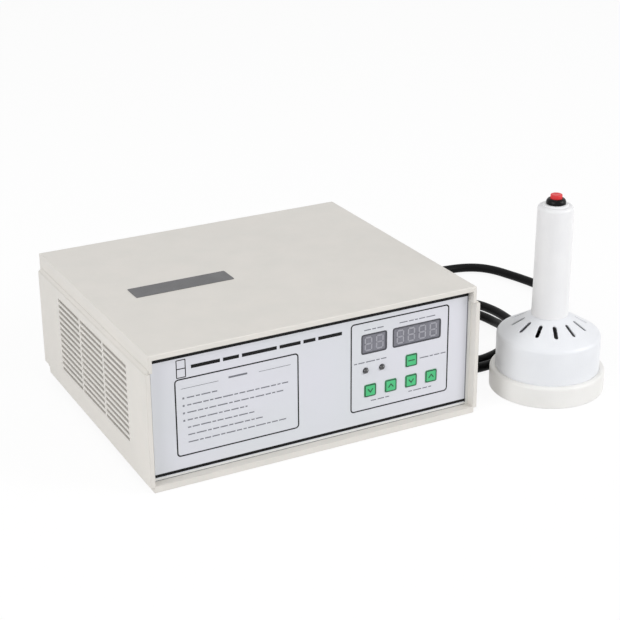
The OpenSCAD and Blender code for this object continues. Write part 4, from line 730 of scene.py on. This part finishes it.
# Keys: five square keys moulded in green plastic, each guided by the panel and pressing its own switch.
# A dark edge and an arrow or a dash are printed on each.
key_side, key_round = 11.0, 1.5
key_edge_line = 1.0
sign_line, sign_wide, sign_high, dash_wide = 1.0, 2.4, 1.5, 3.2
arrow_up = np.array([(-sign_wide, -sign_high), (0, sign_high), (sign_wide, -sign_high)])
dash = np.array([(-dash_wide, 0), (0, 0), (dash_wide, 0)])
key_signs = {"reset": dash, "time_down": -arrow_up, "time_up": arrow_up, "power_down": -arrow_up, "power_up": arrow_up}
key_green = moulded("key_green", (68, 190, 122), (80, 200, 134), 0.4, 0.0008, 0.00003, soft_edge=0.0003)
key_ink = moulded("key_ink", (26, 76, 50), (36, 88, 60), 0.5, 0.0006, 0.00001)
for key_name, sign in key_signs.items():
    key_node, key_body = key_name + "_key", "key_" + key_name
    dress(key_green, key_node)
    low, high = case_box(key_node)
    key_x, key_z = (low[0] + high[0]) / 2, (low[2] + high[2]) / 2
    inset = (key_side - key_edge_line) / 2
    outline = round_box(key_x - inset, key_x + inset, key_z - inset, key_z + inset, key_round - key_edge_line / 2)
    strips = (flat_strip(outline, key_edge_line, closed=True), flat_strip(sign + (key_x, key_z), sign_line))
    key_print = lay_mesh(key_name + "_sign", [on_front(strip, low[1]) for strip in strips], key_ink)
    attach(key_print, key_body)


# Top cover and label: a lid with a rounded nose, moulded in the same cream plastic as the tray and screwed to it
# from below; a thin dark grey plate is stuck on it left of the middle.
dress(case_cream, "top_cover")
dress(moulded("label_plate", (84, 84, 86), (94, 94, 96), 0.42, 0.0006, 0.00003, soft_edge=0.0003), "top_label")


# Ledge lips: a small slope along the top of each side wall that closes the joint with the cover.
# Each is moulded with the wall, in the same cream plastic.
lip_high, lip_sunk, lip_margin, lip_front_gap, lip_back_gap = 2.4, 0.04, 0.4, 1.4, 0.4
wall_low, wall_high = case_box("lower_case")
cover_edge = case_box("top_cover")[1]
lip_front, lip_back = wall_low[1] + lip_front_gap, wall_high[1] - lip_back_gap


def ledge_lip(side):
    """Lip on one side of the case: a three-sided profile, with its slope from the ledge's outer edge up to the
    cover's face, is carried along the wall; its ends close at the corner that it fills."""
    wide = wall_high[0] - cover_edge[0] - lip_margin
    loop = np.array([(-lip_sunk, lip_high), (wide, -lip_sunk), (-lip_sunk, -lip_sunk)])
    depth = np.array([lip_front, lip_front, lip_back, lip_back])[:, None]
    rows = np.stack([loop, loop, loop, loop])
    rows[[0, -1]] = loop[-1]
    x, z = side * (cover_edge[0] + rows[..., 0]), wall_high[2] + rows[..., 1]
    return closed_sheet(from_case(np.stack([x, depth + 0 * x, z], -1)))


ledge_lips = lay_mesh("ledge_lips", [ledge_lip(-1), ledge_lip(1)], case_cream)
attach(ledge_lips, "unit")


# Base ring and sealing plate: a heavy warm-white ring pressed on the bell housing, with a lip under the round,
# heat-proof plate that meets the cap; three screws hold the plate.
ring_outer, ring_height, ring_top_round, ring_foot_round = 51.5, 20.0, 2.9, 1.5
ring_pocket, ring_lip_radius, ring_lip, ring_chamfer = 46.55, 45.0, 2.5, 0.3
head_sides = 192
ring_profile = np.concatenate([
    [(ring_lip_radius, ring_chamfer), (ring_lip_radius + ring_chamfer, 0)],
    arc((ring_outer - ring_foot_round, ring_foot_round), ring_foot_round, -90, 0),
    arc((ring_outer - ring_top_round, ring_height - ring_top_round), ring_top_round, 0, 90, 12),
    [(ring_pocket + ring_chamfer, ring_height), (ring_pocket, ring_height - ring_chamfer),
     (ring_pocket, ring_lip), (ring_lip_radius, ring_lip)],
])


def on_head(sheet):
    """Moves a sheet made around the upright axis to the head's axis."""
    points, faces = sheet
    return points + head_axis, faces


ring_white = moulded("ring_white", (238, 237, 234), (242, 241, 239), 0.4, 0.0012, 0.00003)
ring = lay_mesh("rim_ring", [on_head(turned(ring_profile, head_sides))], ring_white)
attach(ring, "unit")
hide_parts("base_ring")
plate_board = moulded("plate_board", (196, 190, 172), (220, 215, 200), 0.62, 0.0012, 0.00006, soft_edge=0.0004)
dress(plate_board, "sealing_plate")
dress(zinc_plate, "base_screws")


# Coil: a flat winding of thick copper on a heat-proof former, with ferrite bars across its back that turn the
# field downwards; it lies on the sealing plate inside the bell housing.
# The coil's copper, too, runs from painted shade between the turns to a painted highlight on each turn's crown.
dress(wound_wire("coil_wire", copper_gap_shade, copper_crown_highlight, 0.0039, bands="RINGS", middle=tuple(head_axis)),
      "induction_coil")
dress(plate_board, "coil_former")
dress(ferrite_grey, "ferrite_bars")


# Bell housing: a white moulded shell with a conical top, twelve round-ended vent slots in the cone and a flat
# seat for the cable gland at the back; the handle's spigot is clamped in its collar by a plated nut.
bell_radius, bell_wall, bell_foot = 46.5, 2.0, 6.5
collar_bore, collar_radius, collar_height, collar_edge = 13.5, 17.0, 70.0, 0.3
cone_slope, cone_foot, shoulder_round = 0.6, 39.0, 5.0
side_levels = (36.0, 21.0)
vent_count, vent_phase = 12, np.radians(5)
vent_start, vent_end, vent_width = 21.9, 34.3, 3.8
band_inner, band_outer = 20.5, 35.4
cap_steps, side_steps, ring_steps, ring_ease = 8, 12, 6, 1.5
seat_radius, seat_bore, seat_round, seat_depth, seat_sides = 10.0, 7.05, 0.6, 7.0, 64


def cone_height(radius):
    """Height of the cone's face at a radius: it falls from the collar by the slope."""
    return collar_height - cone_slope * (radius - collar_radius)


def vent_field():
    """Cone band with its slots: in plan, the loop around each slot (two half circles and two straight sides) is
    blended point by point into the loop around its share of the band (two arcs and two radii), and the cone's height
    is taken at each point. The field is repeated around the axis, and its edges meet those of its neighbours."""
    share = np.pi / vent_count
    round_end = vent_width / 2
    outer, inner = vent_end - round_end, vent_start + round_end
    cap = np.linspace(-1, 1, cap_steps + 1)[:-1]
    side = np.linspace(0, 1, side_steps + 1)[:-1]
    slot = np.concatenate([
        np.stack([outer + round_end * np.cos(cap * np.pi / 2), round_end * np.sin(cap * np.pi / 2)], -1),
        np.stack([outer + (inner - outer) * side, np.full(side_steps, round_end)], -1),
        np.stack([inner - round_end * np.cos(cap * np.pi / 2), -round_end * np.sin(cap * np.pi / 2)], -1),
        np.stack([inner + (outer - inner) * side, np.full(side_steps, -round_end)], -1),
    ])
    radii = np.concatenate([np.full(cap_steps, band_outer), band_outer + (band_inner - band_outer) * side,
                            np.full(cap_steps, band_inner), band_inner + (band_outer - band_inner) * side])
    turns = np.concatenate([cap * share, np.full(side_steps, share), -cap * share, np.full(side_steps, -share)])
    edge = np.stack([radii * np.cos(turns), radii * np.sin(turns)], -1)
    blend = np.linspace(0, 1, ring_steps)[:, None, None] ** ring_ease
    plan = slot + (edge - slot) * blend
    angle = (vent_phase + 2 * share * np.arange(vent_count))[:, None, None]
    x = plan[..., 0] * np.cos(angle) - plan[..., 1] * np.sin(angle)
    y = plan[..., 0] * np.sin(angle) + plan[..., 1] * np.cos(angle)
    points = np.stack([x, y, cone_height(np.hypot(x, y))], -1) / 1000
    return [closed_sheet(field) for field in points]


cone_tilt = np.degrees(np.arctan(cone_slope))
shoulder_middle = bell_radius - shoulder_round
shoulder_start = shoulder_middle + shoulder_round * np.sin(np.radians(cone_tilt))
shoulder_level = cone_height(shoulder_start) - shoulder_round * np.cos(np.radians(cone_tilt))
collar_out = collar_radius + collar_edge
top_rings = [(collar_bore, collar_height), (collar_radius - collar_edge, collar_height),
             (collar_out, cone_height(collar_out)), (band_inner, cone_height(band_inner))]
low_rings = np.concatenate([
    [(radius, cone_height(radius)) for radius in (band_outer, cone_foot)],
    arc((shoulder_middle, shoulder_level), shoulder_round, 90 - cone_tilt, 0, 12),
    [(bell_radius, level) for level in (*side_levels, bell_foot)],
])
shell_white = moulded("shell_white", (234, 236, 240), (239, 241, 245), 0.36, 0.0015, 0.00003)
# The turned bands above and below the vents have their points where the vent fields' edges have theirs.
first_edge = vent_phase - np.pi / vent_count
bell_sheets = vent_field()
bell_sheets += [turned(band, vent_count * cap_steps, False, first_edge) for band in (top_rings, low_rings)]
bell = lay_mesh("bell_shell", [on_head(sheet) for sheet in bell_sheets], shell_white)
bell_thickness = bell.modifiers.new("wall", "SOLIDIFY")
bell_thickness.thickness, bell_thickness.offset = bell_wall / 1000, -1.0
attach(bell, "unit")
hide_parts("bell_housing")
seat_profile = np.concatenate([
    [(seat_bore, -seat_depth), (seat_radius, -seat_depth)],
    arc((seat_radius - seat_round, -seat_round), seat_round, 0, 90), [(seat_bore, 0)],
])
seat_skin = stand_on(turned(seat_profile, seat_sides), bell_gland_foot, head_cable_way)
seat = lay_mesh("gland_seat", [seat_skin], shell_white)
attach(seat, "unit")
dress(zinc_plate, "handle_nut")


# Handle: a white tapered tube, moulded in one piece with its rounded end cap and the raised pad for the button.
# Its spigot stands in the bell's collar and is clamped there from inside.
handle_foot, handle_neck, handle_top, handle_edge = 16.4, 15.8, 172.0, 3.0
handle_bore, pad_radius, pad_top, pad_bore = 13.0, 10.8, 173.4, 6.6
pad_round, pad_foot, handle_chamfer, handle_steps = 0.5, 0.4, 0.2, 12
handle_low, handle_high = collar_height, handle_top - handle_edge
handle_profile = np.concatenate([
    [(handle_bore, handle_low), (handle_foot - handle_chamfer, handle_low),
     (handle_foot, handle_low + handle_chamfer)],
    np.linspace((handle_foot, handle_low), (handle_neck, handle_high), handle_steps)[1:],
    arc((handle_neck - handle_edge, handle_high), handle_edge, 0, 90, 12)[1:],
    [(pad_radius + pad_foot, handle_top), (pad_radius, handle_top + pad_foot)],
    arc((pad_radius - pad_round, pad_top - pad_round), pad_round, 0, 90, 6),
    [(pad_bore, pad_top), (pad_bore, handle_high), (handle_bore, handle_high)],
])
handle_white = moulded("handle_white", (238, 238, 240), (243, 243, 244), 0.34, 0.0015, 0.00003)
handle = lay_mesh("grip_tube", [on_head(turned(handle_profile, head_sides))], handle_white)
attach(handle, "unit")
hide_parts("handle")


# Push button: a black screwed bezel with rounded shoulders, held by a nut under the handle's cap, and a glossy red
# plunger with a shallow dish for the thumb; the plunger slides down in the bezel onto its switch.
bezel_radius, bezel_skirt, bezel_top, bezel_level = 8.7, 174.9, 6.3, 178.3
bezel_well, bezel_neck, bezel_bore, bezel_foot = 5.6, 6.45, 5.3, 157.0
well_floor, well_chamfer, skirt_chamfer, button_sides = 174.0, 0.15, 0.3, 96
shoulder_in, shoulder_up = 1.25, 1.1
plunger_radius, plunger_stem, plunger_low, plunger_level = 5.2, 5.0, 177.3, 181.8
plunger_stem_end, plunger_round, dish_radius, dish_depth = 161.0, 0.7, 3.6, 0.35
shoulder_turn = np.linspace(0, np.pi / 2, 12)
bezel_profile = np.concatenate([
    [(bezel_bore, bezel_foot), (bezel_neck, bezel_foot), (bezel_neck, pad_top),
     (bezel_radius - skirt_chamfer, pad_top), (bezel_radius, pad_top + skirt_chamfer)],
    np.stack([bezel_top + (bezel_radius - bezel_top) * np.cos(shoulder_turn) ** shoulder_in,
              bezel_skirt + (bezel_level - bezel_skirt) * np.sin(shoulder_turn) ** shoulder_up], -1),
    [(bezel_well + well_chamfer, bezel_level), (bezel_well, bezel_level - well_chamfer),
     (bezel_well, well_floor), (bezel_bore, well_floor)],
])
dish = np.linspace(1, 0, 8)
plunger_profile = np.concatenate([
    [(0, plunger_stem_end), (plunger_stem, plunger_stem_end), (plunger_stem, plunger_low),
     (plunger_radius, plunger_low)],
    arc((plunger_radius - plunger_round, plunger_level - plunger_round), plunger_round, 0, 90),
    np.stack([dish_radius * dish, plunger_level - dish_depth * (1 - dish ** 2) ** 2], -1),
])
bezel_black = moulded("bezel_black", (5, 5, 6), (11, 11, 12), 0.3, 0.001, 0.00003, Specular_IOR_Level=0.15)
plunger_red = moulded("plunger_red", (220, 40, 45), (230, 48, 51), 0.4, 0.002, 0.00002)
bezel = lay_mesh("button_collar", [on_head(turned(bezel_profile, button_sides))], bezel_black)
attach(bezel, "unit")
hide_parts("button_bezel")
plunger = lay_mesh("button_plunger", [on_head(turned(plunger_profile, button_sides, closed=False))], plunger_red)
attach(plunger, "button")
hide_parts("button_cap")
dress(zinc_plate, "button_nut")
dress(chip_black, "button_switch")
